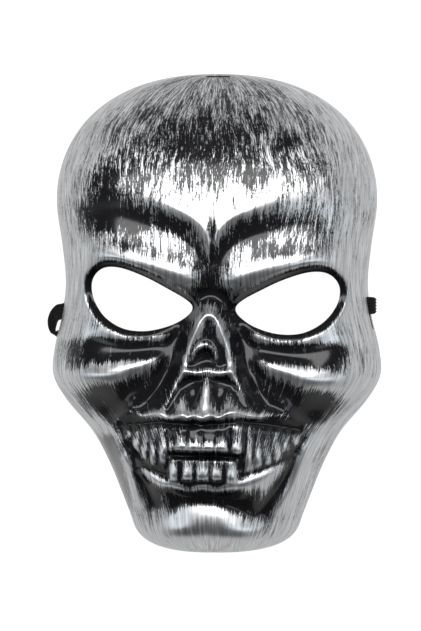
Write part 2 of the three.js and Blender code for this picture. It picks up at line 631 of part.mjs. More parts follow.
// A geometry from the corners of its triangles, without the ones that have no area.
function geometryOf(corners) {
  const values = [];
  for (let i = 0; i < corners.length; i += 3) {
    const [a, b, c] = corners.slice(i, i + 3);
    if (new THREE.Triangle(a, b, c).getArea() > 1e-6) {
      values.push(...a.toArray(), ...b.toArray(), ...c.toArray());
    }
  }
  const geometry = new THREE.BufferGeometry();
  geometry.setAttribute("position", new THREE.Float32BufferAttribute(values, 3));
  return geometry;
}

function toSolid(geometry) {
  const bare = geometry.index ? geometry.toNonIndexed() : geometry.clone();
  bare.deleteAttribute("normal");
  bare.deleteAttribute("uv");
  const merged = mergeVertices(bare, 1e-4);
  return new wasm.Manifold(new wasm.Mesh({
    numProp: 3,
    vertProperties: new Float32Array(merged.attributes.position.array),
    triVerts: new Uint32Array(merged.index.array),
  }));
}

function toGeometry(solid) {
  const { vertProperties, triVerts } = solid.getMesh();
  const geometry = new THREE.BufferGeometry();
  geometry.setAttribute("position", new THREE.BufferAttribute(new Float32Array(vertProperties), 3));
  geometry.setIndex(new THREE.BufferAttribute(new Uint32Array(triVerts), 1));
  geometry.computeVertexNormals();
  return geometry;
}

function boxBetween(from, to) {
  const size = to.map((value, i) => value - from[i]);
  const geometry = new THREE.BoxGeometry(...size);
  return geometry.translate(...from.map((value, i) => value + size[i] / 2));
}

// The upright prism that cuts an eye hole.
function eyeCutter(eye) {
  const shape = new THREE.Shape(eye.outline.map(([x, y]) => new THREE.Vector2(x, y)));
  const geometry = new THREE.ExtrudeGeometry(shape, { depth: FOREHEAD_DEPTH * 2, bevelEnabled: false });
  return geometry.rotateZ(-turn);
}

const slotBottom = ARCH_HEIGHT + STRIP_HEIGHT;
const slotTop = slotBottom + SLOT_HEIGHT;

function templeSlotCutter(side) {
  const inward = side * HALF_WIDTH * 0.8;
  const outward = side * HALF_WIDTH * 1.1;
  return boxBetween(
    [Math.min(inward, outward), SLOT_LEVEL - SLOT_LENGTH / 2, slotBottom],
    [Math.max(inward, outward), SLOT_LEVEL + SLOT_LENGTH / 2, slotTop]);
}

function hangSlotCutter() {
  return boxBetween(
    [HANG_SLOT_SHIFT - HANG_SLOT_LENGTH / 2, HALF_HEIGHT * 0.8, HANG_SLOT_ABOVE_RIM],
    [HANG_SLOT_SHIFT + HANG_SLOT_LENGTH / 2, HALF_HEIGHT * 1.1, HANG_SLOT_ABOVE_RIM + HANG_SLOT_HEIGHT]);
}

function maskShell() {
  const cutters = [...eyes.map(eyeCutter), ...BOTH.map(templeSlotCutter), hangSlotCutter()];
  const sheet = cutters.reduce((solid, cutter) => solid.subtract(toSolid(cutter)), toSolid(sheetGeometry()));
  return toGeometry(sheet);
}

// Where the wall of the sheet stands at a level, on the side of the rim, at the height of the slot's top.
function wallAt(y) {
  const fullness = between(SECTIONS, "level", "fullness", y / HALF_HEIGHT);
  const crest = domeHeight(0, y);
  return halfWidth(y) * (1 - (slotTop / crest) ** 2) ** (1 / fullness);
}

// The sizes of a loop of band round the strip below a temple slot, seen from the chin.
function loopSizes(slack) {
  const ends = [BAND_LEVEL - BAND_WIDTH / 2, BAND_LEVEL + BAND_WIDTH / 2];
  const wallInside = Math.min(...ends.map(wallAt)) - SHEET_THICKNESS * 1.15;
  const wallOutside = Math.max(...ends.map(halfWidth));
  const left = wallInside - LOOP_CLEARANCE - BAND_THICKNESS;
  const right = wallOutside + slack + BAND_THICKNESS;
  const top = slotBottom + LOOP_CLEARANCE + BAND_THICKNESS;
  return { left, right, bottom: LOOP_LIFT, top };
}

// A box with rounded corners, of one radius inside the mask and another outside it.
function roundedPath(path, { left, right, bottom, top }, near, far) {
  path.moveTo(left + near, bottom);
  path.lineTo(right - far, bottom);
  path.absarc(right - far, bottom + far, far, -Math.PI / 2, 0);
  path.lineTo(right, top - far);
  path.absarc(right - far, top - far, far, 0, Math.PI / 2);
  path.lineTo(left + near, top);
  path.absarc(left + near, top - near, near, Math.PI / 2, Math.PI);
  path.lineTo(left, bottom + near);
  path.absarc(left + near, bottom + near, near, Math.PI, Math.PI * 1.5);
  return path;
}

// A loop drawn in the upright plane across the mask, as wide as the band along it. A slack loop drops
// towards the chin on its way round: its outer fold hangs halfway down.
function bandLoop(side, slack, drop) {
  const outside = loopSizes(slack);
  const hole = {
    left: outside.left + BAND_THICKNESS,
    right: outside.right - BAND_THICKNESS,
    bottom: outside.bottom + BAND_THICKNESS,
    top: outside.top - BAND_THICKNESS,
  };
  const near = LOOP_CLEARANCE;
  const far = Math.min((hole.top - hole.bottom) / 2, slack) * 0.9;
  const shape = roundedPath(new THREE.Shape(), outside, near + BAND_THICKNESS, far + BAND_THICKNESS);
  shape.holes.push(roundedPath(new THREE.Path(), hole, near, far));
  const geometry = new THREE.ExtrudeGeometry(shape, {
    depth: BAND_WIDTH,
    bevelEnabled: false,
    curveSegments: 5,
  });
  geometry.rotateX(Math.PI / 2).translate(0, BAND_LEVEL + BAND_WIDTH / 2, 0);
  if (side < 0) {
    geometry.rotateZ(Math.PI).translate(0, BAND_LEVEL * 2, 0);
  }
  const positions = geometry.getAttribute("position");
  const middle = (outside.top + outside.bottom) / 2;
  for (let i = 0; i < positions.count; i += 1) {
    const out = (Math.abs(positions.getX(i)) - outside.left) / (outside.right - outside.left);
    const rise = (positions.getZ(i) - middle) / (outside.top - middle);
    const fallen = 0.5 - 0.5 * rise * (1 - out);
    positions.setY(i, positions.getY(i) - drop * fallen);
  }
  return geometry;
}

// The elastic between the loops, standing on its edge on the ground and sewn to each loop's inner side.
function bandGeometry() {
  const start = -loopSizes(LEFT_LOOP_SLACK).left + JOIN_GAP;
  const end = loopSizes(RIGHT_LOOP_SLACK).left - JOIN_GAP;
  const startLevel = BAND_LEVEL - LEFT_LOOP_DROP / 2;
  const points = [[start, startLevel], [start + 1.2, startLevel], ...BAND_ROUTE, [end - 1.2, BAND_LEVEL],
    [end, BAND_LEVEL]].map(([x, y]) => new THREE.Vector3(x, y, BAND_WIDTH / 2));
  const half = BAND_THICKNESS / 2;
  const section = new THREE.Shape([
    new THREE.Vector2(-BAND_WIDTH / 2, -half),
    new THREE.Vector2(BAND_WIDTH / 2, -half),
    new THREE.Vector2(BAND_WIDTH / 2, half),
    new THREE.Vector2(-BAND_WIDTH / 2, half),
  ]);
  return new THREE.ExtrudeGeometry(section, {
    steps: BAND_STEPS,
    bevelEnabled: false,
    extrudePath: new THREE.CatmullRomCurve3(points, false, "centripetal"),
  });
}

function part(name, geometry, material) {
  const mesh = new THREE.Mesh(geometry, material);
  mesh.name = name;
  return mesh;
}

const mask = new THREE.Group();
mask.add(part("mask_shell", maskShell(), plastic));
mask.add(part("band_loop_left", bandLoop(-1, LEFT_LOOP_SLACK, LEFT_LOOP_DROP), elastic));
mask.add(part("band_loop_right", bandLoop(1, RIGHT_LOOP_SLACK, 0), elastic));
mask.add(part("elastic_band", bandGeometry(), elastic));

export default mask;
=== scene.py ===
"""A skull mask of pressed plastic with silver brushed over its black gloss, and its ribbed elastic band."""

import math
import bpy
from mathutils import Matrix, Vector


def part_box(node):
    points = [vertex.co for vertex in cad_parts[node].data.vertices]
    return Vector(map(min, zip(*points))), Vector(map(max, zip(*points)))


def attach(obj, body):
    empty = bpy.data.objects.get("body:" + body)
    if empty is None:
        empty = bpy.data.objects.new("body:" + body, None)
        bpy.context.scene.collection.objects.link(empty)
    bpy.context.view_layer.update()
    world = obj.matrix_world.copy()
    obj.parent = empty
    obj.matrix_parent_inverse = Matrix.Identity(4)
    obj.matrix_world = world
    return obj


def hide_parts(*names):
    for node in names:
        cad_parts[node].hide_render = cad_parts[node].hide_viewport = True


bl_info = {
    "name": "Brushed skull mask",
    "version": (1, 0, 0),
    "blender": (4, 5, 0),
    "location": "View3D > Sidebar > Skull mask",
    "description": "Builds a pressed skull mask, its elastic band and a plain studio round the packed frame",
    "category": "Add Mesh",
}

import bmesh
import bpy
import numpy as np
from bpy.props import FloatProperty, FloatVectorProperty, IntProperty, PointerProperty
from mathutils import Matrix, Vector

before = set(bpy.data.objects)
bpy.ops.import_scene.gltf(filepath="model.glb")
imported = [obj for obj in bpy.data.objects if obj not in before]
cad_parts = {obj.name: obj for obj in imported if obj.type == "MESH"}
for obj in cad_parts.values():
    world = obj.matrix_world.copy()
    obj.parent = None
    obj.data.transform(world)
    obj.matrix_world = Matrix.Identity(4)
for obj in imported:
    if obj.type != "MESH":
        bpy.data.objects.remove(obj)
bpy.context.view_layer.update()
SHELL_LOW, SHELL_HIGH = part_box("mask_shell")

MM = 0.001
# Width of the mask's outline, which all shares of its half width come from.
MASK_WIDTH = 0.170

# The sides that a row of a table is made on, as on the picture. A row of one place keeps its across.
BOTH = (-1, 1)
LEFT = (-1,)
RIGHT = (1,)
ONE = (1,)

# The dome under the features, from crown to chin: level as a share of the half height, width of the half
# width, crest of the forehead's depth, and fullness, the power that squares a level section.
SECTIONS = (
    (1.0, 0.985, 1.0, 3.0),
    (0.72, 0.985, 1.0, 3.0),
    (0.45, 0.985, 1.0, 3.1),
    (0.28, 0.95, 0.99, 3.3),
    (0.13, 0.93, 0.95, 3.5),
    (0.0, 0.95, 0.92, 3.6),
    (-0.15, 1.0, 0.92, 3.8),
    (-0.26, 1.005, 0.92, 3.7),
    (-0.36, 0.925, 0.94, 3.1),
    (-0.49, 0.765, 0.98, 2.6),
    (-0.62, 0.66, 0.98, 2.4),
    (-0.76, 0.575, 0.92, 2.6),
    (-0.88, 0.51, 0.88, 2.9),
    (-1.0, 0.47, 0.86, 3.0),
)
# Where the crown and the chin start to round off, as shares of the half height, and their powers.
CROWN = {"outline_from": 0.448, "outline_power": 2.3, "crest_from": 0.232, "crest_power": 1.9, "rise": 0.58}
CHIN = {"outline_from": 0.864, "outline_power": 2.6, "crest_from": 0.848, "crest_power": 3.4, "rise": 0.36}

# An eye hole's outline, in shares of its half length towards the nose and of its half height up.
EYE_OUTLINE = (
    (-1.0, 0.38), (-0.93, 0.76), (-0.72, 1.0), (-0.38, 0.99), (0.1, 0.72), (0.55, 0.35), (0.86, 0.06),
    (1.0, -0.18), (0.93, -0.45), (0.62, -0.78), (0.16, -0.99), (-0.3, -0.95), (-0.68, -0.62), (-0.92, -0.12),
)

# The raised and sunk lines of the face: name, sides, and rows of across, up, reach and height. Across and
# reach are hundredths of the half width, up of the half height and height of the relief's height.
CRESTS = (
    ("frown valley", BOTH, (
        (74.2, 39.2, 11.8, -12), (56.4, 39.2, 12.4, -26), (37.6, 36.4, 11.2, -34),
        (21.2, 32.4, 8.2, -38), (10, 27.2, 6.1, -32), (4.2, 21.6, 4, -18),
    )),
    ("edge of the frown", BOTH, (
        (37.6, 46.4, 4.1, 5), (24.8, 43.2, 3.8, 12), (13, 39.6, 3.3, 17), (5.8, 35.2, 2.8, 18),
        (2.6, 29.6, 2.1, 14), (1.4, 24, 1.9, 6),
    )),
    ("crease of the frown", ONE, (
        (1, 36.8, 1.3, -4), (1, 30.4, 1.4, -16), (0.8, 24, 1.6, -18), (0.2, 19.2, 1.6, -10),
    )),
    ("brow", BOTH, (
        (84.5, 22.5, 8.9, 5), (68, 22.5, 8.9, 28), (48, 20, 8.9, 48), (30.5, 17, 8.7, 56),
        (15.5, 13.5, 7.8, 50), (6, 11, 5.6, 30),
    )),
    ("cheekbone", BOTH, (
        (92, -31, 9.4, 14), (77.5, -29, 8, 30), (61, -27, 7.5, 40), (47, -24, 7.3, 38),
        (34, -20, 6.4, 24),
    )),
    ("trough under the eye", BOTH, (
        (80, -10.5, 7.6, -12), (66, -13.5, 7.6, -26), (49.5, -15.5, 7.1, -32), (33, -14.5, 6.6, -34),
        (21, -9.5, 6.1, -26),
    )),
    ("side of the nose", BOTH, (
        (13, 1, 7.1, -50), (19, -9, 7.1, -60), (23.5, -19, 7.1, -60), (29.5, -29, 7.1, -52),
        (36.5, -37, 7.1, -30),
    )),
    ("crest round the nose", BOTH, (
        (1.8, -1, 1.9, 16), (5.2, -3.4, 1.9, 22), (8.2, -8.3, 1.9, 26), (11.4, -14.2, 1.9, 26),
        (13.8, -19.7, 1.9, 26), (14.8, -24.8, 2, 24), (18.4, -28.8, 1.9, 20), (21.8, -33.6, 1.9, 19),
        (24.6, -37.6, 1.9, 16), (28.2, -41.3, 1.9, 9),
    )),
    ("nose and upper jaw", ONE, (
        (0, 1, 7.1, 70), (0, -5, 10.6, 90), (0, -14.5, 15.3, 95), (0, -24, 20, 90), (0, -33.5, 25.9, 90),
        (0, -43, 30.6, 90),
    )),
    ("nose opening", ONE, (
        (0, -4.8, 3.5, -40), (0, -10.4, 5.6, -60), (0, -16, 7.8, -70), (0, -20, 8.9, -70),
    )),
    ("arch in the opening", ONE, (
        (-10.4, -20, 1.6, 14), (-8, -16.3, 1.8, 28), (-5.2, -14.1, 1.9, 36), (-1, -13.3, 2, 40),
        (2.6, -15.4, 1.9, 36), (4.4, -17.9, 1.8, 28), (6.4, -20.8, 1.6, 14),
    )),
    ("sill of the opening", ONE, (
        (-14.4, -24.4, 2.6, 22), (-7, -25, 2.9, 28), (0, -23.4, 3.5, 36), (7, -24.8, 2.9, 28),
        (14.4, -24, 2.6, 22),
    )),
    ("root between the incisors", ONE, (
        (-1, -28, 1.6, 10), (-0.8, -33.6, 2.6, 24), (-0.8, -38, 4.7, 36), (-0.8, -41.6, 6.6, 40),
    )),
    ("left root", ONE, (
        (-15, -33.6, 1.9, 8), (-14.8, -37.6, 3.5, 28), (-14.6, -41.9, 4.9, 38),
    )),
    ("right root", ONE, (
        (14.2, -32, 2.6, 10), (15.2, -36.4, 4.9, 30), (15.8, -41.2, 6.4, 38),
    )),
    ("vault under the sill", BOTH, (
        (4.2, -28.8, 3.1, -16), (9.8, -28.2, 3.8, -26), (14.8, -31.6, 3.5, -24), (17, -36, 3.1, -14),
    )),
    ("upper gum", ONE, (
        (-56.4, -45.6, 2.1, 10), (-47, -41.9, 2.4, 20), (-38.8, -43, 2.2, 22), (-30.6, -41.8, 2.4, 26),
        (-22.4, -43.7, 2.2, 28), (-14.8, -42.4, 2.2, 28), (-11.2, -43.8, 2.1, 28),
        (-6.4, -42.2, 2.2, 29), (-1.8, -44, 2.1, 30), (3.2, -41.9, 2.2, 29), (8, -43.5, 2.1, 28),
        (12.2, -41.6, 2.2, 28), (18.8, -40.5, 2.4, 30), (28.2, -42.2, 2.4, 24), (37.6, -41.1, 2.4, 22),
        (48.2, -42.1, 2.4, 18), (58.8, -44.8, 2.1, 8),
    )),
    ("groove under the upper gum", ONE, (
        (-51.8, -47.6, 2.4, -10), (-35.2, -46.1, 2.4, -18), (-23.6, -45.6, 2.4, -24),
        (-9.4, -45.8, 2.4, -28), (4.8, -45.4, 2.4, -28), (18.8, -44.6, 2.4, -24), (33, -45.3, 2.4, -18),
        (54.2, -47.2, 2.4, -10),
    )),
    ("recess of the upper teeth", ONE, (
        (-49.5, -49, 7.1, -10), (-28, -52, 9.4, -24), (0, -50.5, 8.2, -28), (26, -53, 9.4, -24),
        (54, -49.5, 7.1, -10),
    )),
    ("recess of the lower teeth", ONE, (
        (-26, -62.5, 5.2, -10), (-16.5, -62.5, 5.4, -18), (0, -62.5, 5.4, -20), (16.5, -63, 5.4, -18),
        (26, -62.5, 5.2, -10),
    )),
    ("lower gum", ONE, (
        (-50.6, -60.8, 2.6, 12), (-44.8, -64.4, 2.8, 18), (-36.4, -67.2, 2.6, 22),
        (-28.2, -70.4, 2.8, 24), (-18.8, -71.5, 2.6, 28), (-9.4, -73.3, 2.8, 26), (-1.2, -72.2, 2.6, 30),
        (7, -73.1, 2.8, 26), (15.2, -71.7, 3.1, 30), (25.8, -70.4, 4.2, 24), (37.6, -66.8, 5.4, 26),
        (49.4, -60.4, 4.5, 16),
    )),
    ("line between the rows of teeth", ONE, (
        (-23.6, -58.4, 1.9, -10), (-17.6, -58.9, 2.2, -36), (-5.8, -58.9, 2.4, -44),
        (5.8, -58.9, 2.4, -44), (16.4, -59, 2.2, -36), (22.4, -58.9, 1.9, -10),
    )),
    ("left end of the teeth", ONE, (
        (-54.2, -49.6, 1.9, -6), (-48.2, -55.6, 2.1, -12), (-40, -61.6, 2.2, -15),
        (-30.6, -65.6, 2.2, -15), (-22.4, -67.2, 2.1, -12),
    )),
    ("right end of the teeth", ONE, (
        (58.8, -51.2, 1.9, -6), (51.8, -56.8, 2.1, -12), (42.4, -61.6, 2.2, -15),
        (31.8, -64.8, 2.2, -15), (22.4, -67.2, 2.1, -12),
    )),
    ("crest of the chin", ONE, (
        (-35.5, -97.5, 7.8, 30), (-23.5, -95.5, 9.6, 46), (-12, -92.5, 11.3, 50), (1, -90, 12.2, 50),
        (14, -92.5, 11.3, 48), (24.5, -95.5, 9.6, 42), (35.5, -97.5, 7.8, 28),
    )),
    ("left jaw", ONE, (
        (-67, -47, 4.9, 16), (-56.5, -52, 4.7, 44), (-52.5, -58.5, 4.7, 56), (-48, -67, 5.2, 50),
        (-42.5, -78.5, 5.6, 30),
    )),
    ("groove in the left jaw", ONE, (
        (-44.8, -62.4, 3.8, -12), (-38.8, -70.4, 4.2, -28), (-31.8, -79.2, 4.7, -24),
    )),
    ("right jaw", ONE, (
        (68, -49, 4.9, 16), (62, -55, 4.7, 42), (58, -63, 4.7, 54), (54, -70.5, 4.9, 52),
        (48, -79, 5.6, 34),
    )),
    ("groove in the right jaw", ONE, (
        (53, -57.6, 3.3, -12), (48.2, -64.8, 3.8, -30), (42.4, -72.8, 4.2, -36), (34.2, -80.8, 4.7, -24),
    )),
    ("fold beside the mouth", BOTH, (
        (30.6, -26.4, 3.5, 4), (38.8, -32.8, 4, 16), (49.4, -40, 4.2, 18), (56.4, -45.6, 4.1, 8),
    )),
)
# The mounds and the dents: name, sides, across, up, wide, tall, height, and a turn in degrees that raises
# the outer end. Wide and tall are half sizes, in hundredths of the half width.
MOUNDS = (
    ("hollow cheek", BOTH, 62.5, -40, 17.6, 10, -65, 20),
    ("inner hollow of the cheek", BOTH, 42.5, -33.6, 10.6, 9.4, -30, 10),
    ("root of the nose", ONE, 0, 8, 12.9, 9.4, -70, 0),
    ("hollow under the sill", BOTH, 8, -33.2, 4.7, 8.2, -30, 0),
    ("small bead beside the nose", ONE, 25.5, -30, 3.1, 5.4, 18, 12),
    ("muzzle", ONE, 0, -60, 47.1, 30.6, 80, 0),
    ("hollow under the lip", ONE, 4.5, -77.2, 22.4, 6.5, -34, -4),
    ("left of the hollow under the lip", ONE, -16.5, -78.8, 8.2, 7.1, -20, 30),
    ("right of the hollow under the lip", ONE, 20, -80.4, 9.4, 7.1, -24, -30),
    ("dent beside the chin", ONE, 33, -84, 9.4, 7.1, -30, 0),
)
# The teeth: across, top, bottom, half width and height.
UPPER_TEETH = (
    (-48.8, -45.6, -53.6, 2.4, 22), (-43.2, -45.2, -57.2, 2.5, 26), (-37.6, -45.2, -60.8, 2.5, 30),
    (-32, -45.2, -63.2, 2.5, 34), (-26.2, -44.8, -62.4, 2.8, 44), (-21, -45.2, -57.6, 1.8, 26),
    (-15.6, -46.4, -57, 3.2, 44), (-7.4, -46.4, -57.2, 4.6, 50), (2.8, -46.4, -57.2, 4.7, 50),
    (11, -46.4, -57, 3.2, 44), (19.6, -43.6, -58.4, 3.5, 48), (26.4, -44.8, -64, 2.4, 38),
    (31.8, -45.2, -63.2, 2.4, 34), (37.2, -45.2, -61.6, 2.4, 30), (42.6, -45.2, -59.6, 2.4, 28),
    (48, -45.6, -56.8, 2.4, 24), (53.4, -46, -54, 2.4, 18),
)
LOWER_TEETH = (
    (-19.2, -59.6, -69.2, 2.9, 44), (-10.4, -61.2, -69.2, 3.5, 42), (-1.4, -61.2, -69.2, 3.6, 42),
    (7.6, -61.2, -69, 3.5, 42), (16.2, -59.6, -69.6, 3.2, 48),
)

# How a tooth stands out: its height at its middle, and how much more it has at its foot and less at its top.
TOOTH_LEAN = (0.52, 0.48)

# How the silver lies beyond what the relief gives it. Name, sides, then across, up, wide, tall and turn as
# for the mounds, and the cover that it adds or takes away.
PAINT = (
    ("dark top of the forehead", ONE, -2, 68, 42, 24, 0, -0.3),
    ("black of the frown", BOTH, 44, 38, 18, 7, 0, -0.45),
    ("black over the right brow", RIGHT, 20, 33, 10, 6, 25, -0.45),
    ("black over the left brow", LEFT, 20, 36, 7, 5, 25, -0.35),
    ("silver of the right brow", RIGHT, 42, 19, 20, 5, 0, 0.35),
    ("silver up the left brow", LEFT, 25, 30, 13, 7, 18, 0.25),
    ("silver over the frown", ONE, 0, 41, 22, 6, 0, 0.35),
    ("black beside the left temple", LEFT, 72, 40, 16, 13, 0, -0.45),
    ("grey patch over the right brow", RIGHT, 46, 38, 9, 10, 0, 0.4),
    ("thin patch on the forehead", RIGHT, 43, 71, 6, 5, 0, -0.3),
    ("bare left of the highlight", LEFT, 62, 53, 15, 12, 20, -0.4),
    ("brushed forehead", ONE, 10, 47, 44, 9, 0, 0.22),
    ("brushed brow", BOTH, 40, 17.5, 26, 5, 0, 0.4),
    ("thin silver over the brow", BOTH, 46, 27, 20, 4, 0, -0.2),
    ("grainy upper lid", BOTH, 40, 13, 26, 4.6, 16, 0.5),
    ("silver lower lid", BOTH, 50, -9.6, 27, 3.4, 0, 1.2),
    ("black between the brows", ONE, 1, 22, 4, 16, 0, -0.3),
    ("black trough under the eye", BOTH, 50, -15.6, 30, 6, 0, -0.95),
    ("cheekbone", BOTH, 58, -24, 26, 4.2, -9, 0.7),
    ("brushed cheekbone", BOTH, 66, -28.5, 20, 4.4, -7, 0.25),
    ("black beside the nose", BOTH, 25, -22, 6, 20, 8, -0.3),
    ("black beside the roots", BOTH, 21, -33, 4.5, 9, 22, -0.4),
    ("black in the nose", ONE, 0, -13, 7, 14, 0, -0.25),
    ("black of the cheek", BOTH, 56, -40, 22, 8, 20, -0.5),
    ("brushed side teeth", BOTH, 36, -54, 15, 10, 0, 0.25),
    ("silver roots", ONE, 0, -41, 18, 5, 0, 0.5),
    ("thin silver of the left jaw", LEFT, 54, -70, 9, 22, -28, -0.6),
    ("black of the left jaw", LEFT, 57, -57, 8, 11, -28, -0.8),
    # Takes silver away at the side of the left cheek, which leaves that side darker.
    ("thin silver at the side of the left cheek", LEFT, 86, -22, 9, 13, 0, -0.35),
    ("black tops of the teeth", ONE, -2, -49, 20, 4.6, 0, -0.45),
    ("black of the mouth", ONE, -2, -59, 20, 2.2, 0, -0.5),
    ("silver lower teeth", ONE, -1, -65, 20, 4.4, 0, 0.3),
    ("brushed lower gum", RIGHT, 36, -68, 16, 8, 0, 0.55),
    ("left lower gum", LEFT, 36, -70, 12, 5, -30, 0.25),
    ("black under the lip", ONE, 8, -76.5, 22, 5, -4, -0.5),
    ("arms of the chin", BOTH, 14, -86.5, 17, 6, -38, 0.7),
    ("brushed chin", ONE, 0, -91.5, 40, 10, 0, 0.6),
)


def length(name, default, description):
    """A length in metres, as a property."""
    return FloatProperty(name=name, description=description, default=default, unit="LENGTH")


class MaskSizes(bpy.types.PropertyGroup):
    """The sizes of the pressed sheet, in metres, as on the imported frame."""

    relief: length("Relief", 0.010, "Height that the relief's rows are shares of")
    depth: length("Forehead depth", 0.068, "Height of the forehead over the rim")
    sheet: length("Sheet", 0.0012, "Thickness of the plastic")
    face_turn: FloatProperty(name="Face turn", description="Turn of the features on the outline",
                             default=math.radians(1.4), subtype="ANGLE")
    relief_fade: length("Relief fade", 0.024, "Height over the rim where the relief is whole")
    eye_length: length("Eye length", 0.0532, "Length of an eye hole")
    eye_height: length("Eye height", 0.0324, "Height of an eye hole")
    eye_spacing: length("Eye spacing", 0.0757, "Distance between the middles of the eye holes")
    eye_shift: length("Eye shift", 0.0014, "How far both eyes stand to one side")
    eye_level: length("Eye level", 0.006, "Height of the eyes over the middle")
    socket_depth: length("Socket depth", 0.0065, "Depth of the step down to an eye hole")
    socket_width: length("Socket width", 0.005, "Width of that step")
    lip_depth: length("Lip depth", 0.0012, "Depth of the step at an eye hole's lower edge")
    lid_width: length("Lid width", 0.0044, "Width of the lower lid")
    lid_slope: FloatProperty(name="Lid slope", description="Fall of the lower lid towards the eye hole",
                             default=0.78)
    slot_length: length("Slot length", 0.017, "Length of a slot at the temple")
    slot_height: length("Slot height", 0.004, "Height of that slot")
    strip_height: length("Strip height", 0.0045, "Height of the rim below a slot")
    arch_height: length("Arch height", 0.003, "Lift of the rim under a temple")
    arch_reach: length("Arch reach", 0.036, "Half length of that lift")
    hang_length: length("Hang slot length", 0.0125, "Length of the slot in the crown")
    hang_height: length("Hang slot height", 0.003, "Height of that slot")
    hang_lift: length("Hang slot lift", 0.0075, "Height of that slot over the rim")
    hang_shift: length("Hang slot shift", 0.0011, "How far that slot stands to one side")
    columns: IntProperty(name="Columns", description="Divisions of the sheet across", default=192)
    rows: IntProperty(name="Rows", description="Divisions of the sheet along", default=236)


class BandSizes(bpy.types.PropertyGroup):
    """The sizes of the elastic band, in metres."""

    width: length("Width", 0.0084, "Width of the elastic")
    thickness: length("Thickness", 0.0011, "Thickness of the elastic")
    fold: length("Fold", 0.0009, "Radius of the elastic's tightest fold")
    bulge: length("Bulge", 0.0014, "How far the tight loop stands off the strip of rim")
    spread: FloatProperty(name="Spread", description="Share of its width that a tight loop spreads by",
                          default=0.08)
    ribs: IntProperty(name="Ribs", description="Ribs that run along the elastic", default=5)
    rib_depth: length("Rib depth", 0.0004, "Depth of the grooves between the ribs")


class MaskFinish(bpy.types.PropertyGroup):
    """The colours of the mask and of its band."""

    plastic: FloatVectorProperty(name="Plastic", description="Colour of the bare plastic", subtype="COLOR",
                                 size=4, default=(0.006, 0.006, 0.007, 1.0))
    silver: FloatVectorProperty(name="Silver", description="Colour of the brushed silver", subtype="COLOR",
                                size=4, default=(0.72, 0.73, 0.745, 1.0))
    elastic: FloatVectorProperty(name="Elastic", description="Colour of the elastic", subtype="COLOR",
                                 size=4, default=(0.008, 0.008, 0.009, 1.0))


class StudioSettings(bpy.types.PropertyGroup):
    """The camera and the lights."""

    yaw: FloatProperty(name="Yaw", description="Turn of the camera from straight above", subtype="ANGLE",
                       default=math.radians(3.4))
    distance: FloatProperty(name="Distance", description="Camera distance", default=5.0, unit="LENGTH")
    floor: FloatProperty(name="Floor", description="Brightness of the floor", default=1.0)
    floor_glow: FloatProperty(name="Floor glow", description="Brightness of the floor to the mask",
                              default=0.7)
    sky: FloatProperty(name="Sky", description="Brightness of the room", default=0.13)
    key: FloatProperty(name="Key", description="Brightness of the long softbox beyond the crown", default=8.0)
    side: FloatProperty(name="Side", description="Brightness of the softboxes beside the mask", default=2.4)


def smooth(value, start, end):
    """0 before start, 1 after end and a smooth step between them."""
    share = np.clip((value - start) / (end - start), 0, 1)
    return share * share * (3 - 2 * share)


def between(column, levels):
    """A column of SECTIONS at each level, along a smooth curve."""
    rows = np.array(SECTIONS)[::-1]
    at, values = rows[:, 0], rows[:, column]
    slopes = np.empty(len(at))
    slopes[1:-1] = (values[2:] - values[:-2]) / (at[2:] - at[:-2])
    slopes[0] = (values[1] - values[0]) / (at[1] - at[0])
    slopes[-1] = (values[-1] - values[-2]) / (at[-1] - at[-2])
    i = np.clip(np.searchsorted(at, levels) - 1, 0, len(at) - 2)
    span = at[i + 1] - at[i]
    t = np.clip((levels - at[i]) / span, 0, 1)
    start = (2 * t**3 - 3 * t**2 + 1) * values[i]
    leave = (t**3 - 2 * t**2 + t) * span * slopes[i]
    end = (3 * t**2 - 2 * t**3) * values[i + 1]
    arrive = (t**3 - t**2) * span * slopes[i + 1]
    return start + leave + end + arrive


def smooth_line(rows, steps, closed=False):
    """A smooth line through rows of numbers, as short straight pieces."""
    rows = np.array(rows, float)
    count = len(rows)
    out = []
    for i in range(count if closed else count - 1):
        if closed:
            a, b, c, d = rows[i - 1], rows[i], rows[(i + 1) % count], rows[(i + 2) % count]
        else:
            a, b, c, d = rows[max(i - 1, 0)], rows[i], rows[i + 1], rows[min(i + 2, count - 1)]
        for k in range(steps):
            t = k / steps
            out.append(0.5 * (2 * b + (c - a) * t + (2 * a - 5 * b + 4 * c - d) * t**2
                              + (3 * b - a - 3 * c + d) * t**3))
    if not closed:
        out.append(rows[-1])
    return np.array(out)


def nearest(line, x, y):
    """Distance from each point to a line, with the line's other columns at the nearest place."""
    distance = np.full(x.shape, np.inf)
    extra = np.zeros((line.shape[1] - 2,) + x.shape)
    for a, b in zip(line[:-1], line[1:]):
        dx, dy = b[:2] - a[:2]
        share = np.clip(((x - a[0]) * dx + (y - a[1]) * dy) / (dx * dx + dy * dy + 1e-18), 0, 1)
        here = np.hypot(x - a[0] - share * dx, y - a[1] - share * dy)
        closer = here < distance
        distance = np.where(closer, here, distance)
        for k in range(len(extra)):
            extra[k] = np.where(closer, a[k + 2] + share * (b[k + 2] - a[k + 2]), extra[k])
    return distance, extra


# The pieces of a smooth line between two rows: of a crest, an eye hole, the slack loop and the band.
CREST_STEPS, EYE_STEPS, LOOP_STEPS, BAND_STEPS = 9, 8, 24, 40
# How many of its reaches away from its line a crest still counts.
CREST_REACHES = 2.6
# How far round an eye hole its edge is measured, and the distance that stands for all that lies further away.
EYE_MARGIN, FAR_AWAY = 0.02, 0.06
# The levels below the eye between which the lower lid takes over, in widths of the socket's step.
LID_LEVELS = (2.4, 0.4)
# How far the step and the lip reach into the hole and the lip out of it, and how softly the lid's ramp
# starts: each is one part in so many of the step's width, and the last of the lid's.
STEP_INSIDE, LIP_INSIDE, LIP_OUTSIDE, LID_SOFTNESS = 5, 8, 3, 15
# The sheet's thickness grows from the rim up, so much faster than the dome's height.
THICKENING = 1.25


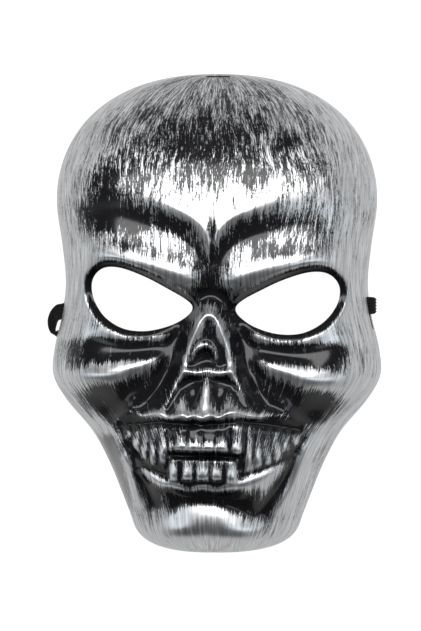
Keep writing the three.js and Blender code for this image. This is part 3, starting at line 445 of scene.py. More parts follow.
class Face:
    """The form of the pressed sheet, in metres, worked out from the sizes and the tables."""

    def __init__(self, sizes):
        self.sizes = sizes
        self.half_width = MASK_WIDTH / 2
        self.half_height = (SHELL_HIGH.y - SHELL_LOW.y) / 2
        self.lines = []
        for _name, sides, rows in CRESTS:
            for side in sides:
                self.lines.append(smooth_line([
                    (side * across / 100 * self.half_width, up / 100 * self.half_height,
                     reach / 100 * self.half_width, height / 100 * sizes.relief)
                    for across, up, reach, height in rows], CREST_STEPS))
        self.eyes = []
        for side in BOTH:
            x = sizes.eye_shift + side * sizes.eye_spacing / 2
            outline = smooth_line([
                (x - side * nose * sizes.eye_length / 2, sizes.eye_level + up * sizes.eye_height / 2)
                for nose, up in EYE_OUTLINE], EYE_STEPS, closed=True)
            self.eyes.append(outline)

    def rounds(self, level):
        """What is left of the outline and of the crest where the crown and the chin round off."""
        def into(level, start):
            return np.clip((level - start) / (1 - start), 0, 1)

        outline, crest = 1.0, 1.0
        for end, sign in ((CROWN, 1), (CHIN, -1)):
            power = end["outline_power"]
            outline = outline * (1 - into(sign * level, end["outline_from"]) ** power) ** (1 / power)
            crest = crest * (1 - into(sign * level, end["crest_from"]) ** end["crest_power"]) ** end["rise"]
        return outline, crest

    def outline(self, y):
        """Half the outline's width at each place along the mask."""
        level = np.clip(y / self.half_height, -1, 1)
        return self.half_width * between(1, level) * self.rounds(level)[0]

    def dome(self, across, y):
        """Height of the dome under the features, at a share of the outline's half width."""
        level = np.clip(y / self.half_height, -1, 1)
        crest = self.sizes.depth * between(2, level) * self.rounds(level)[1]
        return crest * np.sqrt(np.maximum(1 - np.abs(across) ** between(3, level), 0))

    def turned(self, x, y):
        """From the frame of the outline to the turned frame of the features."""
        c, s = math.cos(self.sizes.face_turn), math.sin(self.sizes.face_turn)
        return x * c - y * s, x * s + y * c

    def relief(self, x, y):
        """What the crests, the mounds and the teeth add to the dome."""
        total = np.zeros(x.shape)
        for line in self.lines:
            margin = CREST_REACHES * line[:, 2].max()
            low, high = line[:, :2].min(0) - margin, line[:, :2].max(0) + margin
            near = (x > low[0]) & (x < high[0]) & (y > low[1]) & (y < high[1])
            distance, (reach, height) = nearest(line, x[near], y[near])
            total[near] += height * np.exp(-((distance / reach) ** 2))
        for _name, sides, across, up, wide, tall, height, turn in MOUNDS:
            for side in sides:
                top = height / 100 * self.sizes.relief
                total += top * self.mound(x, y, side, across, up, wide, tall, turn)
        for across, top, bottom, half, height in UPPER_TEETH + LOWER_TEETH:
            middle = (top + bottom) / 200 * self.half_height
            reach = (top - bottom) / 200 * self.half_height
            u = (x - across / 100 * self.half_width) / (half / 100 * self.half_width)
            v = (y - middle) / reach
            lean = TOOTH_LEAN[0] - TOOTH_LEAN[1] * v
            total += height / 100 * self.sizes.relief * lean * np.exp(-(u**4) - v**6)
        return total

    def mound(self, x, y, side, across, up, wide, tall, turn):
        """A bell over an ellipse, 1 in its middle."""
        angle = math.radians(side * turn)
        dx = x - side * across / 100 * self.half_width
        dy = y - up / 100 * self.half_height
        along = (dx * math.cos(angle) + dy * math.sin(angle)) / (wide / 100 * self.half_width)
        over = (dy * math.cos(angle) - dx * math.sin(angle)) / (tall / 100 * self.half_width)
        return np.exp(-(along**2) - over**2)

    def eye_distance(self, outline, x, y):
        """Distance to an eye hole's edge, less than 0 inside it, and large far away from it."""
        out = np.full(x.shape, FAR_AWAY)
        low, high = outline.min(0) - EYE_MARGIN, outline.max(0) + EYE_MARGIN
        near = (x > low[0]) & (x < high[0]) & (y > low[1]) & (y < high[1])
        px, py = x[near], y[near]
        closed = np.vstack([outline, outline[:1]])
        distance, _ = nearest(closed, px, py)
        inside = np.zeros(px.shape, bool)
        for (ax, ay), (bx, by) in zip(closed[:-1], closed[1:]):
            crossing = (ay > py) != (by > py)
            inside ^= crossing & (px < (bx - ax) * (py - ay) / (by - ay + 1e-18) + ax)
        out[near] = np.where(inside, -distance, distance)
        return out

    def sockets(self, x, y):
        """The steps down to the eye holes, and the lower lids that lead there as ramps."""
        sizes = self.sizes
        width = sizes.socket_width
        total = np.zeros(x.shape)
        below = 1 - smooth(y, *(sizes.eye_level - width * level for level in LID_LEVELS))
        for outline in self.eyes:
            distance = self.eye_distance(outline, x, y)
            step = 1 - smooth(distance, -width / STEP_INSIDE, width)
            lip = 1 - smooth(distance, -width / LIP_INSIDE, width / LIP_OUTSIDE)
            soft = sizes.lid_width / LID_SOFTNESS
            to_crest = soft * np.logaddexp(0, (sizes.lid_width - distance) / soft)
            ramp = sizes.lip_depth * lip + sizes.lid_slope * to_crest
            total -= sizes.socket_depth * step * (1 - below)
            total -= ramp * below * (distance < FAR_AWAY)
        return total

    def rim(self, y):
        """Height of the rim over the ground, which it leaves in an arch at each temple."""
        share = np.clip(np.abs(y) / self.sizes.arch_reach, 0, 1)
        return self.sizes.arch_height * (1 - share**2) ** 2

    def height(self, across, y):
        """The outer surface over the ground, at a share of the outline's half width."""
        x = across * self.outline(y)
        dome = self.dome(across, y)
        fx, fy = self.turned(x, y)
        shape = (self.relief(fx, fy) + self.sockets(fx, fy)) * smooth(dome, 0, self.sizes.relief_fade)
        return np.maximum(dome + shape, self.rim(y))

    def inner(self, outer, across, y):
        """The inner surface, one sheet thickness in from the outer one towards the middle of the dome."""
        sheet = self.sizes.sheet
        dome = self.dome(across, y) / self.sizes.depth
        inner = outer.copy()
        inner[:, 0] = across * np.maximum(self.outline(y) - sheet, 0)
        inner[:, 1] = y - sheet * y / self.half_height
        inner[:, 2] = np.maximum(outer[:, 2] - sheet * np.minimum(dome * THICKENING, 1), self.rim(y))
        return inner


# How the rows of the sheet crowd at its ends and on the features: share of the rows, then level.
ROW_LEVELS = (
    (0.0, -1.0), (0.012, -0.9985), (0.03, -0.992), (0.055, -0.965), (0.085, -0.92), (0.15, -0.8),
    (0.57, -0.22), (0.8, 0.3), (0.93, 0.84), (0.96, 0.95), (0.982, 0.99), (0.993, 0.9985), (1.0, 1.0),
)
# How much of a sine the columns follow, which crowds them towards the sides.
COLUMN_CROWDING = 0.42
# The places of the shell's materials after the brushed skin, which is the first.
LINING, CUT_EDGE = 1, 2


def mesh_object(name, bm, materials):
    """An object at the origin from a bmesh, which it uses up."""
    mesh = bpy.data.meshes.new(name)
    bm.to_mesh(mesh)
    bm.free()
    for material in materials:
        mesh.materials.append(material)
    piece = bpy.data.objects.new(name, mesh)
    bpy.context.scene.collection.objects.link(piece)
    return piece


def sheet_bmesh(face):
    """The whole sheet, closed round its rim, before anything is cut through it."""
    sizes = face.sizes
    bm = bmesh.new()
    for inside in (False, True):
        made = bmesh.ops.create_grid(bm, x_segments=sizes.columns, y_segments=sizes.rows, size=1)["verts"]
        grid = np.array([v.co[:2] for v in made])
        across = (1 - COLUMN_CROWDING) * grid[:, 0] + COLUMN_CROWDING * np.sin(grid[:, 0] * math.pi / 2)
        shares, levels = np.array(ROW_LEVELS).T
        y = np.interp((grid[:, 1] + 1) / 2, shares, levels) * face.half_height
        points = np.column_stack([across * face.outline(y), y, face.height(across, y)])
        if inside:
            points = face.inner(points, across, y)
        for vert, point in zip(made, points):
            vert.co = point
        if inside:
            faces = list({f for v in made for f in v.link_faces})
            bmesh.ops.reverse_faces(bm, faces=faces)
            for f in faces:
                f.material_index = LINING
        poles = [v for v, p in zip(made, grid) if abs(abs(p[1]) - 1) < 1e-6]
        bmesh.ops.remove_doubles(bm, verts=poles, dist=1e-7)
    rims = [e for e in bm.edges if e.is_boundary]
    for f in bmesh.ops.bridge_loops(bm, edges=rims)["faces"]:
        f.material_index = CUT_EDGE
    return bm


# Where the prisms of the eye holes start and how tall they are, in depths of the forehead, how far the bars
# of the slots reach, in half widths, and how much of a slot's height its rounding takes.
PRISM_START, PRISM_HEIGHT = 0.1, 1.8
BAR_REACH, BAR_ROUNDING = 0.3, 0.3


def cutters_bmesh(face):
    """Prisms for the eye holes and rounded bars for the three slots."""
    sizes = face.sizes
    bm = bmesh.new()
    c, s = math.cos(-sizes.face_turn), math.sin(-sizes.face_turn)
    for outline in face.eyes:
        verts = [bm.verts.new((x * c - y * s, x * s + y * c, sizes.depth * PRISM_START)) for x, y in outline]
        base = bm.faces.new(verts)
        raised = bmesh.ops.extrude_face_region(bm, geom=[base])["geom"]
        top = [g for g in raised if isinstance(g, bmesh.types.BMVert)]
        bmesh.ops.translate(bm, verts=top, vec=(0, 0, sizes.depth * PRISM_HEIGHT))
    low = sizes.arch_height + sizes.strip_height
    reach = face.half_width * BAR_REACH
    bars = [(side * face.half_width, 0, low + sizes.slot_height / 2, reach, sizes.slot_length,
             sizes.slot_height) for side in BOTH]
    bars.append((sizes.hang_shift, face.half_height, sizes.hang_lift + sizes.hang_height / 2,
                 sizes.hang_length, reach, sizes.hang_height))
    for x, y, z, wide, long, tall in bars:
        cube = bmesh.ops.create_cube(bm, size=1)["verts"]
        bmesh.ops.scale(bm, verts=cube, vec=(wide, long, tall))
        bmesh.ops.translate(bm, verts=cube, vec=(x, y, z))
        through = 1 if long == reach else 0
        edges = {e for v in cube for e in v.link_edges
                 if abs((e.verts[0].co - e.verts[1].co)[through]) > reach / 2}
        bmesh.ops.bevel(bm, geom=list(edges), offset=tall * BAR_ROUNDING, segments=3, profile=0.5,
                        affect="EDGES", material=-1)
    bmesh.ops.recalc_face_normals(bm, faces=bm.faces)
    for f in bm.faces:
        f.material_index = CUT_EDGE
    return bm


def cut(piece, cutters):
    """Takes the cutters out of a piece, and leaves plain mesh."""
    modifier = piece.modifiers.new("openings", "BOOLEAN")
    modifier.operation = "DIFFERENCE"
    modifier.solver = "MANIFOLD"
    modifier.object = cutters
    bpy.context.view_layer.update()
    whole = piece.evaluated_get(bpy.context.evaluated_depsgraph_get())
    mesh = bpy.data.meshes.new_from_object(whole)
    piece.modifiers.clear()
    old = piece.data
    piece.data = mesh
    bpy.data.meshes.remove(old)
    mesh.name = piece.name
    bpy.data.objects.remove(cutters)


def blurred(grid, reach):
    """A grid of values blurred by a bell of that reach, in cells."""
    span = int(reach * 3)
    bell = np.exp(-((np.arange(-span, span + 1) / reach) ** 2))
    bell /= bell.sum()
    for axis in (0, 1):
        padded = np.pad(grid, [(span, span) if a == axis else (0, 0) for a in (0, 1)], mode="edge")
        grid = np.apply_along_axis(lambda row: np.convolve(row, bell, mode="valid"), axis, padded)
    return grid


# The share of silver on the forehead, in the middle of the face and round its sides.
BASE_COVER = {"forehead": 0.5, "middle": 0.2, "side": 0.8}
# How silver gathers on what stands out of its surroundings: their reach in metres, the cover that each metre
# adds, and the least and the most of it.
PROUD = (
    (0.0032, 360.0, -0.55, 0.55),
    (0.0095, 75.0, -0.2, 0.2),
)
# The grid that the cover is worked out on: its cell and its margin round the mask, in metres.
COVER_CELL, COVER_MARGIN = 0.0007, 0.01
# Where the sides start and are whole, in half widths, and where the middle of the face does above the chin
# and ends below the forehead, in half heights.
SIDE_FROM = (0.66, 0.9)
MIDDLE_FROM, MIDDLE_TO = (-0.86, -0.7), (0.1, 0.3)
# The bare border of an eye hole, in metres: where the cover starts and where it is whole.
EYE_BORDER = (0.0026, 0.0048)


def cover_at(face, x, y):
    """How much silver the brush left at each point, from 0 to 1: most where the face stands out."""
    xs, ys = (np.arange(-half - COVER_MARGIN, half + COVER_MARGIN, COVER_CELL)
              for half in (face.half_width, face.half_height))
    gx, gy = np.meshgrid(xs, ys)
    fx, fy = face.turned(gx, gy)
    form = face.relief(fx, fy) + face.sockets(fx, fy)
    width = np.maximum(face.outline(gy), 0.001)
    level = gy / face.half_height
    side = smooth(np.abs(gx) / width, *SIDE_FROM)
    middle = smooth(level, *MIDDLE_FROM) * (1 - smooth(level, *MIDDLE_TO))
    base = BASE_COVER["forehead"] * (1 - middle) + BASE_COVER["middle"] * middle
    cover = base * (1 - side) + BASE_COVER["side"] * side
    for reach, weight, low, high in PROUD:
        cover += np.clip((form - blurred(form, reach / COVER_CELL)) * weight, low, high)
    for _name, sides, across, up, wide, tall, turn, amount in PAINT:
        for s in sides:
            cover += amount * face.mound(fx, fy, s, across, up, wide, tall, turn)
    for outline in face.eyes:
        cover *= smooth(face.eye_distance(outline, fx, fy), *EYE_BORDER)
    cover = np.clip(cover, 0, 1)
    column = np.clip((x - xs[0]) / COVER_CELL, 0, len(xs) - 1.001)
    row = np.clip((y - ys[0]) / COVER_CELL, 0, len(ys) - 1.001)
    i, j = column.astype(int), row.astype(int)
    u, v = column - i, row - j
    upper = cover[j, i] * (1 - u) + cover[j, i + 1] * u
    lower = cover[j + 1, i] * (1 - u) + cover[j + 1, i + 1] * u
    return upper * (1 - v) + lower * v


# Where the walls start and are whole for the brush, in half widths, and how much of the walls' fall and of
# the fall at the crown and the chin its map counts.
WALLS_FROM = (0.9, 0.97)
WALL_FALL, END_FALL = 0.85, 0.8


def brush_coordinates(face, points):
    """Across and along the brush's strokes, which follow the outline and go down the walls, in metres."""
    x, y, z = points.T
    width = np.maximum(face.outline(y), 1e-4)
    across = np.clip(x / width, -1, 1)
    level = np.clip(y / face.half_height, -1, 1)
    crest = np.maximum(face.dome(np.zeros_like(y), y), 1e-4)
    dome = face.dome(across, y)
    low = smooth(np.abs(across), *WALLS_FROM)
    fall = (crest - (dome * (1 - low) + np.minimum(z, crest) * low)) * WALL_FALL
    along = y + np.sign(y) * (1 - face.rounds(level)[1]) * face.sizes.depth * END_FALL
    return across * face.half_width + np.sign(across) * fall, along


def paint_shell(face, piece):
    """The brush map, the cover and the sharp edges of the cut shell."""
    mesh = piece.data
    points = np.empty(len(mesh.vertices) * 3, np.float32)
    mesh.vertices.foreach_get("co", points)
    points = points.reshape(-1, 3).astype(float)
    over, along = brush_coordinates(face, points)
    cover = mesh.attributes.new("cover", "FLOAT", "POINT")
    cover.data.foreach_set("value", cover_at(face, points[:, 0], points[:, 1]).astype(np.float32))
    corners = np.empty(len(mesh.loops), np.int32)
    mesh.loops.foreach_get("vertex_index", corners)
    for old in list(mesh.uv_layers):
        mesh.uv_layers.remove(old)
    brush = mesh.uv_layers.new(name="brush")
    uv = np.column_stack([over[corners], along[corners]]).astype(np.float32)
    brush.data.foreach_set("uv", uv.ravel())
    bm = bmesh.new()
    bm.from_mesh(mesh)
    for f in bm.faces:
        f.smooth = True
    for e in bm.edges:
        if len({f.material_index for f in e.link_faces}) > 1:
            e.smooth = False
    bm.to_mesh(mesh)
    bm.free()


def new_group(name, inputs, outputs):
    """A shader node group with its sockets, its input and its output node."""
    group = bpy.data.node_groups.new(name, "ShaderNodeTree")
    for label, kind, value in inputs:
        socket = group.interface.new_socket(name=label, in_out="INPUT", socket_type=kind)
        if value is not None:
            socket.default_value = value
    for label, kind in outputs:
        group.interface.new_socket(name=label, in_out="OUTPUT", socket_type=kind)
    return group, group.nodes.new("NodeGroupInput"), group.nodes.new("NodeGroupOutput")


def feed(tree, socket, value):
    """Gives a socket a plain value, or links it to what makes its value."""
    if isinstance(value, (int, float, tuple)):
        socket.default_value = value
    else:
        tree.links.new(value, socket)


def stretched_noise(tree, vector, scale, detail):
    """Noise stretched by a scale in each direction of a map."""
    mapping = tree.nodes.new("ShaderNodeMapping")
    mapping.inputs["Scale"].default_value = scale
    tree.links.new(vector, mapping.inputs["Vector"])
    noise = tree.nodes.new("ShaderNodeTexNoise")
    noise.inputs["Scale"].default_value = 1.0
    noise.inputs["Detail"].default_value = detail
    noise.inputs["Roughness"].default_value = 0.55
    tree.links.new(mapping.outputs["Vector"], noise.inputs["Vector"])
    return noise.outputs["Fac"]


def math_node(tree, operation, a, b=0.0, c=0.0):
    """A sum or the like of up to three values."""
    node = tree.nodes.new("ShaderNodeMath")
    node.operation = operation
    for socket, value in zip(node.inputs, (a, b, c)):
        feed(tree, socket, value)
    return node.outputs[0]


def weighted(tree, values, weights):
    """The sum of some values, each times its weight."""
    total = 0.0
    for value, weight in zip(values, weights):
        if weight:
            total = math_node(tree, "MULTIPLY_ADD", value, weight, total)
    return total


def range_node(tree, value, low, high, to_low=0.0, to_high=1.0, smoothly=False):
    """A value carried over from one range to another, and kept inside it."""
    node = tree.nodes.new("ShaderNodeMapRange")
    if smoothly:
        node.interpolation_type = "SMOOTHSTEP"
    for label, item in (("Value", value), ("From Min", low), ("From Max", high), ("To Min", to_low),
                        ("To Max", to_high)):
        feed(tree, node.inputs[label], item)
    return node.outputs["Result"]


def mix_colour(tree, factor, a, b):
    """A colour between two others."""
    node = tree.nodes.new("ShaderNodeMix")
    node.data_type = "RGBA"
    for label, value in (("Factor", factor), ("A", a), ("B", b)):
        feed(tree, node.inputs[label], value)
    return node.outputs["Result"]


def shade(colour, factor=1.0):
    """A colour made darker or lighter."""
    return tuple(c * factor for c in colour[:3]) + (1.0,)


# The brush's noises: how many strokes lie side by side and end to end in a metre, the noise's detail, and
# their weights in the cover, in the silver's ridges and in its grain.
STROKES = (
    ("hairs", (4200.0, 230.0, 1.0), 2.0, 0.34, 0.7, 0.0),
    ("strokes", (1700.0, 90.0, 1.0), 3.0, 0.32, 0.6, 0.4),
    ("tufts", (520.0, 50.0, 1.0), 3.0, 0.22, 0.0, 0.6),
    ("patches", (90.0, 45.0, 1.0), 3.0, 0.22, 0.0, 0.0),
    ("skips", (1300.0, 700.0, 1.0), 2.0, 0.16, 0.0, 0.0),
)
# How often in a metre the strokes sway, and how far, in metres.
SWAY_SCALE, SWAY = 22.0, 0.010
# The ranges that the weighted noises keep to, for the cover and for the grain.
COVER_RANGE, GRAIN_RANGE = (0.51, 0.74), (0.36, 0.64)
# How much of its edge the silver reaches into the bare plastic.
EDGE_REACH = 0.5


def dry_brush_group():
    """Silver dragged over the surface by a dry brush: where it lies and how high its ridges stand."""
    group, given, out = new_group(
        "Dry brush",
        [("Map", "NodeSocketVector", None), ("Cover", "NodeSocketFloat", 0.5),
         ("Edge", "NodeSocketFloat", 0.2)],
        [("Silver", "NodeSocketFloat"), ("Height", "NodeSocketFloat"), ("Grain", "NodeSocketFloat")])
    sway = group.nodes.new("ShaderNodeTexNoise")
    sway.inputs["Scale"].default_value = SWAY_SCALE
    sway.inputs["Detail"].default_value = 1.0
    group.links.new(given.outputs["Map"], sway.inputs["Vector"])
    lean = group.nodes.new("ShaderNodeVectorMath")
    lean.operation = "MULTIPLY_ADD"
    lean.inputs[1].default_value = (SWAY, 0.0, 0.0)
    group.links.new(sway.outputs["Color"], lean.inputs[0])
    group.links.new(given.outputs["Map"], lean.inputs[2])
    noises = [stretched_noise(group, lean.outputs[0], row[1], row[2]) for row in STROKES]
    mixed, ridges, grain = (weighted(group, noises, [row[column] for row in STROKES])
                            for column in (3, 4, 5))
    spread = range_node(group, mixed, *COVER_RANGE)
    bare = math_node(group, "SUBTRACT", 1.0, given.outputs["Cover"])
    low = math_node(group, "MULTIPLY_ADD", given.outputs["Edge"], -EDGE_REACH, bare)
    high = math_node(group, "ADD", bare, given.outputs["Edge"])
    silver = range_node(group, spread, low, high, smoothly=True)
    group.links.new(silver, out.inputs["Silver"])
    group.links.new(math_node(group, "MULTIPLY", ridges, silver), out.inputs["Height"])
    group.links.new(range_node(group, grain, *GRAIN_RANGE), out.inputs["Grain"])


# The waves and the dust of moulded plastic: how many to a metre, the dust's height in times of the waves',
# and the range of the dust that shows as haze.
WAVES, DUST = (160.0, 160.0, 160.0), (2600.0, 2600.0, 2600.0)
DUST_HEIGHT = 0.06
HAZE_RANGE = (0.55, 0.75)


def moulded_group():
    """The faint waviness and the fine dust of moulded plastic, as a height and a roughness to add."""
    group, given, out = new_group(
        "Moulded plastic",
        [("Place", "NodeSocketVector", None)],
        [("Height", "NodeSocketFloat"), ("Haze", "NodeSocketFloat")])
    waves, dust = (stretched_noise(group, given.outputs["Place"], scale, 2.0) for scale in (WAVES, DUST))
    group.links.new(math_node(group, "MULTIPLY_ADD", dust, DUST_HEIGHT, waves), out.inputs["Height"])
    group.links.new(range_node(group, dust, *HAZE_RANGE), out.inputs["Haze"])


def new_material(name):
    """The node tree and the shader of a new material."""
    material = bpy.data.materials.new(name)
    material.use_nodes = True
    return material.node_tree, material.node_tree.nodes["Principled BSDF"]


def place_group(tree, name, **inputs):
    """The outputs of a node group placed in a tree with its inputs."""
    node = tree.nodes.new("ShaderNodeGroup")
    node.node_tree = bpy.data.node_groups[name]
    for label, value in inputs.items():
        feed(tree, node.inputs[label], value)
    return node.outputs


def place_map(tree, layer):
    """A map of the mesh as a place for a group."""
    uv = tree.nodes.new("ShaderNodeUVMap")
    uv.uv_map = layer
    return uv.outputs["UV"]


def place_moulded(tree):
    """The moulded plastic at its place on the object."""
    place = tree.nodes.new("ShaderNodeTexCoord")
    return place_group(tree, "Moulded plastic", Place=place.outputs["Object"])


def bump_into(tree, shader, height, distance):
    """Bumps on the shader's surface, as high as a distance in metres."""
    bump = tree.nodes.new("ShaderNodeBump")
    bump.inputs["Strength"].default_value = 1.0
    bump.inputs["Distance"].default_value = distance
    tree.links.new(height, bump.inputs["Height"])
    tree.links.new(bump.outputs["Normal"], shader.inputs["Normal"])


# The silver's darkest grain as a share of its colour, and the haze on bare plastic in times of its colour.
DARK_GRAIN, HAZE_SHADE = 0.45, 2.2
# The roughness of gloss plastic and of silver, each with what its haze or its grain adds.
GLOSS, SILVER_MATT = (0.15, 0.08), (0.3, 0.14)
# The roughness of the lining and of the cut edges, and what haze adds to it.
LINING_ROUGHNESS, EDGE_ROUGHNESS, BARE_HAZE = 0.24, 0.4, 0.15
# The bumps of the silver, of bare plastic and of the knit, in metres, and how much the waves count in silver.
SILVER_BUMP, PLASTIC_BUMP, KNIT_BUMP = 0.00004, 0.00003, 0.00008
WAVES_IN_SILVER = 0.35


def brushed_skin(finish):
    """Black gloss plastic with silver brushed over what stands out."""
    tree, shader = new_material("dry_brushed_silver")
    cover = tree.nodes.new("ShaderNodeAttribute")
    cover.attribute_name = "cover"
    brush = place_group(tree, "Dry brush", Map=place_map(tree, "brush"), Cover=cover.outputs["Fac"])
    moulded = place_moulded(tree)
    silver = mix_colour(tree, brush["Grain"], shade(finish.silver, DARK_GRAIN), shade(finish.silver))
    colour = mix_colour(tree, brush["Silver"], shade(finish.plastic), silver)
    tree.links.new(colour, shader.inputs["Base Color"])
    tree.links.new(brush["Silver"], shader.inputs["Metallic"])
    gloss = math_node(tree, "MULTIPLY_ADD", moulded["Haze"], GLOSS[1], GLOSS[0])
    matt = math_node(tree, "MULTIPLY_ADD", brush["Grain"], SILVER_MATT[1], SILVER_MATT[0])
    blend = math_node(tree, "MULTIPLY_ADD", brush["Silver"], math_node(tree, "SUBTRACT", matt, gloss), gloss)
    tree.links.new(blend, shader.inputs["Roughness"])
    shader.inputs["Specular IOR Level"].default_value = 0.25
    height = math_node(tree, "MULTIPLY_ADD", moulded["Height"], WAVES_IN_SILVER, brush["Height"])
    bump_into(tree, shader, height, SILVER_BUMP)


def bare_plastic(name, finish, roughness):
    """The same plastic where no silver was brushed on."""
    tree, shader = new_material(name)
    moulded = place_moulded(tree)
    tone = mix_colour(tree, moulded["Haze"], shade(finish.plastic), shade(finish.plastic, HAZE_SHADE))
    tree.links.new(tone, shader.inputs["Base Color"])
    rough = math_node(tree, "MULTIPLY_ADD", moulded["Haze"], BARE_HAZE, roughness)
    tree.links.new(rough, shader.inputs["Roughness"])
    bump_into(tree, shader, moulded["Height"], PLASTIC_BUMP)


# The lint of the elastic across and along its map, its weights in the knit's height and shade, and how far a
# stitch leans, in stitches.
LINT = (60.0, 900.0, 1.0)
LINT_HEIGHT, LINT_SHADE = 0.8, 2.0
CHEVRON = 1.6
# The elastic's colour in the painted shade between its stitches and in the painted light on their tops, in
# times of its colour.
STITCH_SHADING = (0.3, 1.5)


def knit_group():
    """The chevron stitches that run along each rib of the elastic: their height, and a shade painted darker
    between the stitches and lighter on them, with the lint's own random tone.
    """
    group, given, out = new_group(
        "Knit ribs",
        [("Map", "NodeSocketVector", None), ("Ribs", "NodeSocketFloat", 5.0),
         ("Stitches", "NodeSocketFloat", 900.0)],
        [("Height", "NodeSocketFloat"), ("Shade", "NodeSocketFloat")])
    split = group.nodes.new("ShaderNodeSeparateXYZ")
    group.links.new(given.outputs["Map"], split.inputs[0])
    rib = math_node(group, "MULTIPLY", split.outputs["X"], given.outputs["Ribs"])
    fold = math_node(group, "PINGPONG", rib, 0.5)
    row = math_node(group, "MULTIPLY_ADD", split.outputs["Y"], given.outputs["Stitches"],
                    math_node(group, "MULTIPLY", fold, CHEVRON))
    stitch = math_node(group, "SINE", math_node(group, "MULTIPLY", row, math.tau))
    lint = stretched_noise(group, given.outputs["Map"], LINT, 3.0)
    group.links.new(math_node(group, "MULTIPLY_ADD", lint, LINT_HEIGHT, stitch), out.inputs["Height"])
    # The shade follows the stitches' sine as the height does: painted shade in the grooves and painted light
    # on the stitches, plus the lint's real random tone.
    tone = math_node(group, "MULTIPLY_ADD", lint, LINT_SHADE, stitch)
    group.links.new(range_node(group, tone, -1.0, 1.0 + LINT_SHADE), out.inputs["Shade"])


def elastic_material(finish, ribs):
    """Black knitted elastic, dull and a little downy."""
    tree, shader = new_material("ribbed_elastic")
    knit = place_group(tree, "Knit ribs", Map=place_map(tree, "knit"), Ribs=float(ribs))
    dark, light = (shade(finish.elastic, factor) for factor in STITCH_SHADING)
    # The base colour runs from painted shade in the knit's grooves to painted light on its stitches.
    tree.links.new(mix_colour(tree, knit["Shade"], dark, light), shader.inputs["Base Color"])
    for label, value in (("Roughness", 0.85), ("Specular IOR Level", 0.15), ("Sheen Weight", 0.1),
                         ("Sheen Roughness", 0.45)):
        shader.inputs[label].default_value = value
    bump_into(tree, shader, knit["Height"], KNIT_BUMP)


class MASK_OT_finishes(bpy.types.Operator):
    """Make the node groups and the materials of the mask and its band"""

    bl_idname = "skull_mask.finishes"
    bl_label = "Finishes"

    def execute(self, context):
        finish = context.scene.mask_finish
        dry_brush_group()
        moulded_group()
        knit_group()
        brushed_skin(finish)
        bare_plastic("plastic_lining", finish, LINING_ROUGHNESS)
        bare_plastic("plastic_edge", finish, EDGE_ROUGHNESS)
        elastic_material(finish, context.scene.band_sizes.ribs)
        return {"FINISHED"}


class MASK_OT_shell(bpy.types.Operator):
    """Build the pressed sheet with its relief, cut its openings and lay the map that the brush follows"""

    bl_idname = "skull_mask.shell"
    bl_label = "Shell"

    def execute(self, context):
        face = Face(context.scene.mask_sizes)
        names = ("dry_brushed_silver", "plastic_lining", "plastic_edge")
        materials = [bpy.data.materials[name] for name in names]
        shell = mesh_object("pressed_shell", sheet_bmesh(face), materials)
        cutters = mesh_object("cutters", cutters_bmesh(face), materials)
        cut(shell, cutters)
        paint_shell(face, shell)
        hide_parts("mask_shell")
        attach(shell, "root")
        return {"FINISHED"}


# The route of the elastic, in millimetres, as it lies on its edge between its loops.
BAND_ROUTE = (
    (-73.6, 3.5), (-73, 18), (-67.5, 38), (-51, 57), (-27, 66), (-5, 58), (17, 45), (41, 48), (60, 42),
    (70.5, 25), (72.6, 10),
)
# The steps of the elastic's outline over a rib, how sharp the grooves between ribs are, and the share of the
# thickness that the edges keep.
RIB_STEPS, GROOVE_POWER, EDGE_SHARE = 6, 3, 0.12


def band_bmesh(sizes, stations, closed):
    """Ribbed elastic through its stations: rows of middle, direction across and direction outwards."""
    profile_steps = sizes.ribs * RIB_STEPS
    around = profile_steps * 2
    bm = bmesh.new()
    bm.loops.layers.uv.new("knit")
    count = len(stations)
    segments = count if closed else count - 1
    made = bmesh.ops.create_grid(bm, x_segments=around, y_segments=segments, size=1, calc_uvs=True)["verts"]
    length = sum((a[0] - b[0]).length for a, b in zip(stations[1:], stations[:-1]))
    for vert in made:
        i = round((vert.co.x + 1) / 2 * around) % around
        j = round((vert.co.y + 1) / 2 * segments) % count
        middle, across, outward = stations[j]
        front = i < profile_steps
        share = (i / profile_steps) if front else (2 - i / profile_steps)
        groove = sizes.rib_depth * abs(math.cos(math.pi * share * sizes.ribs)) ** GROOVE_POWER
        half = sizes.thickness / 2 - groove
        edge = min(share, 1 - share) * sizes.width / (sizes.thickness * 0.5)
        half *= math.sqrt(min(edge + EDGE_SHARE, 1.0))
        vert.co = middle + across * (share - 0.5) * sizes.width + outward * (half if front else -half)
    layer = bm.loops.layers.uv["knit"]
    for f in bm.faces:
        f.smooth = True
        for loop in f.loops:
            u, v = loop[layer].uv
            loop[layer].uv = ((u * 2) if u <= 0.5 else (2 - u * 2), v * length)
    bmesh.ops.remove_doubles(bm, verts=bm.verts, dist=1e-6)
    if not closed:
        bmesh.ops.holes_fill(bm, edges=[e for e in bm.edges if e.is_boundary], sides=0)
    bmesh.ops.recalc_face_normals(bm, faces=bm.faces)
    return bm


# The stations of a loop, the steps of a tight loop's corner, and how sharply its spread turns to a squeeze at
# its outer side, as a power.
LOOP_STATIONS, CORNER_STEPS, SPREAD_POWER = 128, 12, 8


def travelled(points):
    """How far along a line each of its points lies."""
    return np.concatenate([[0], np.cumsum(np.linalg.norm(np.diff(points, axis=0), axis=1))])


def spaced(line, travel, count, endpoint=False):
    """The rows of a line at even steps of the way along it."""
    at = np.linspace(0, travel[-1], count, endpoint=endpoint)
    return np.column_stack([np.interp(at, travel, column) for column in line.T])


def loop_round(points, across):
    """The stations of a loop: its points, its directions across and the directions outwards."""
    stations = []
    for k, point in enumerate(points):
        along = points[(k + 1) % len(points)] - points[k - 1]
        stations.append((point, across[k], along.cross(across[k]).normalized()))
    return stations


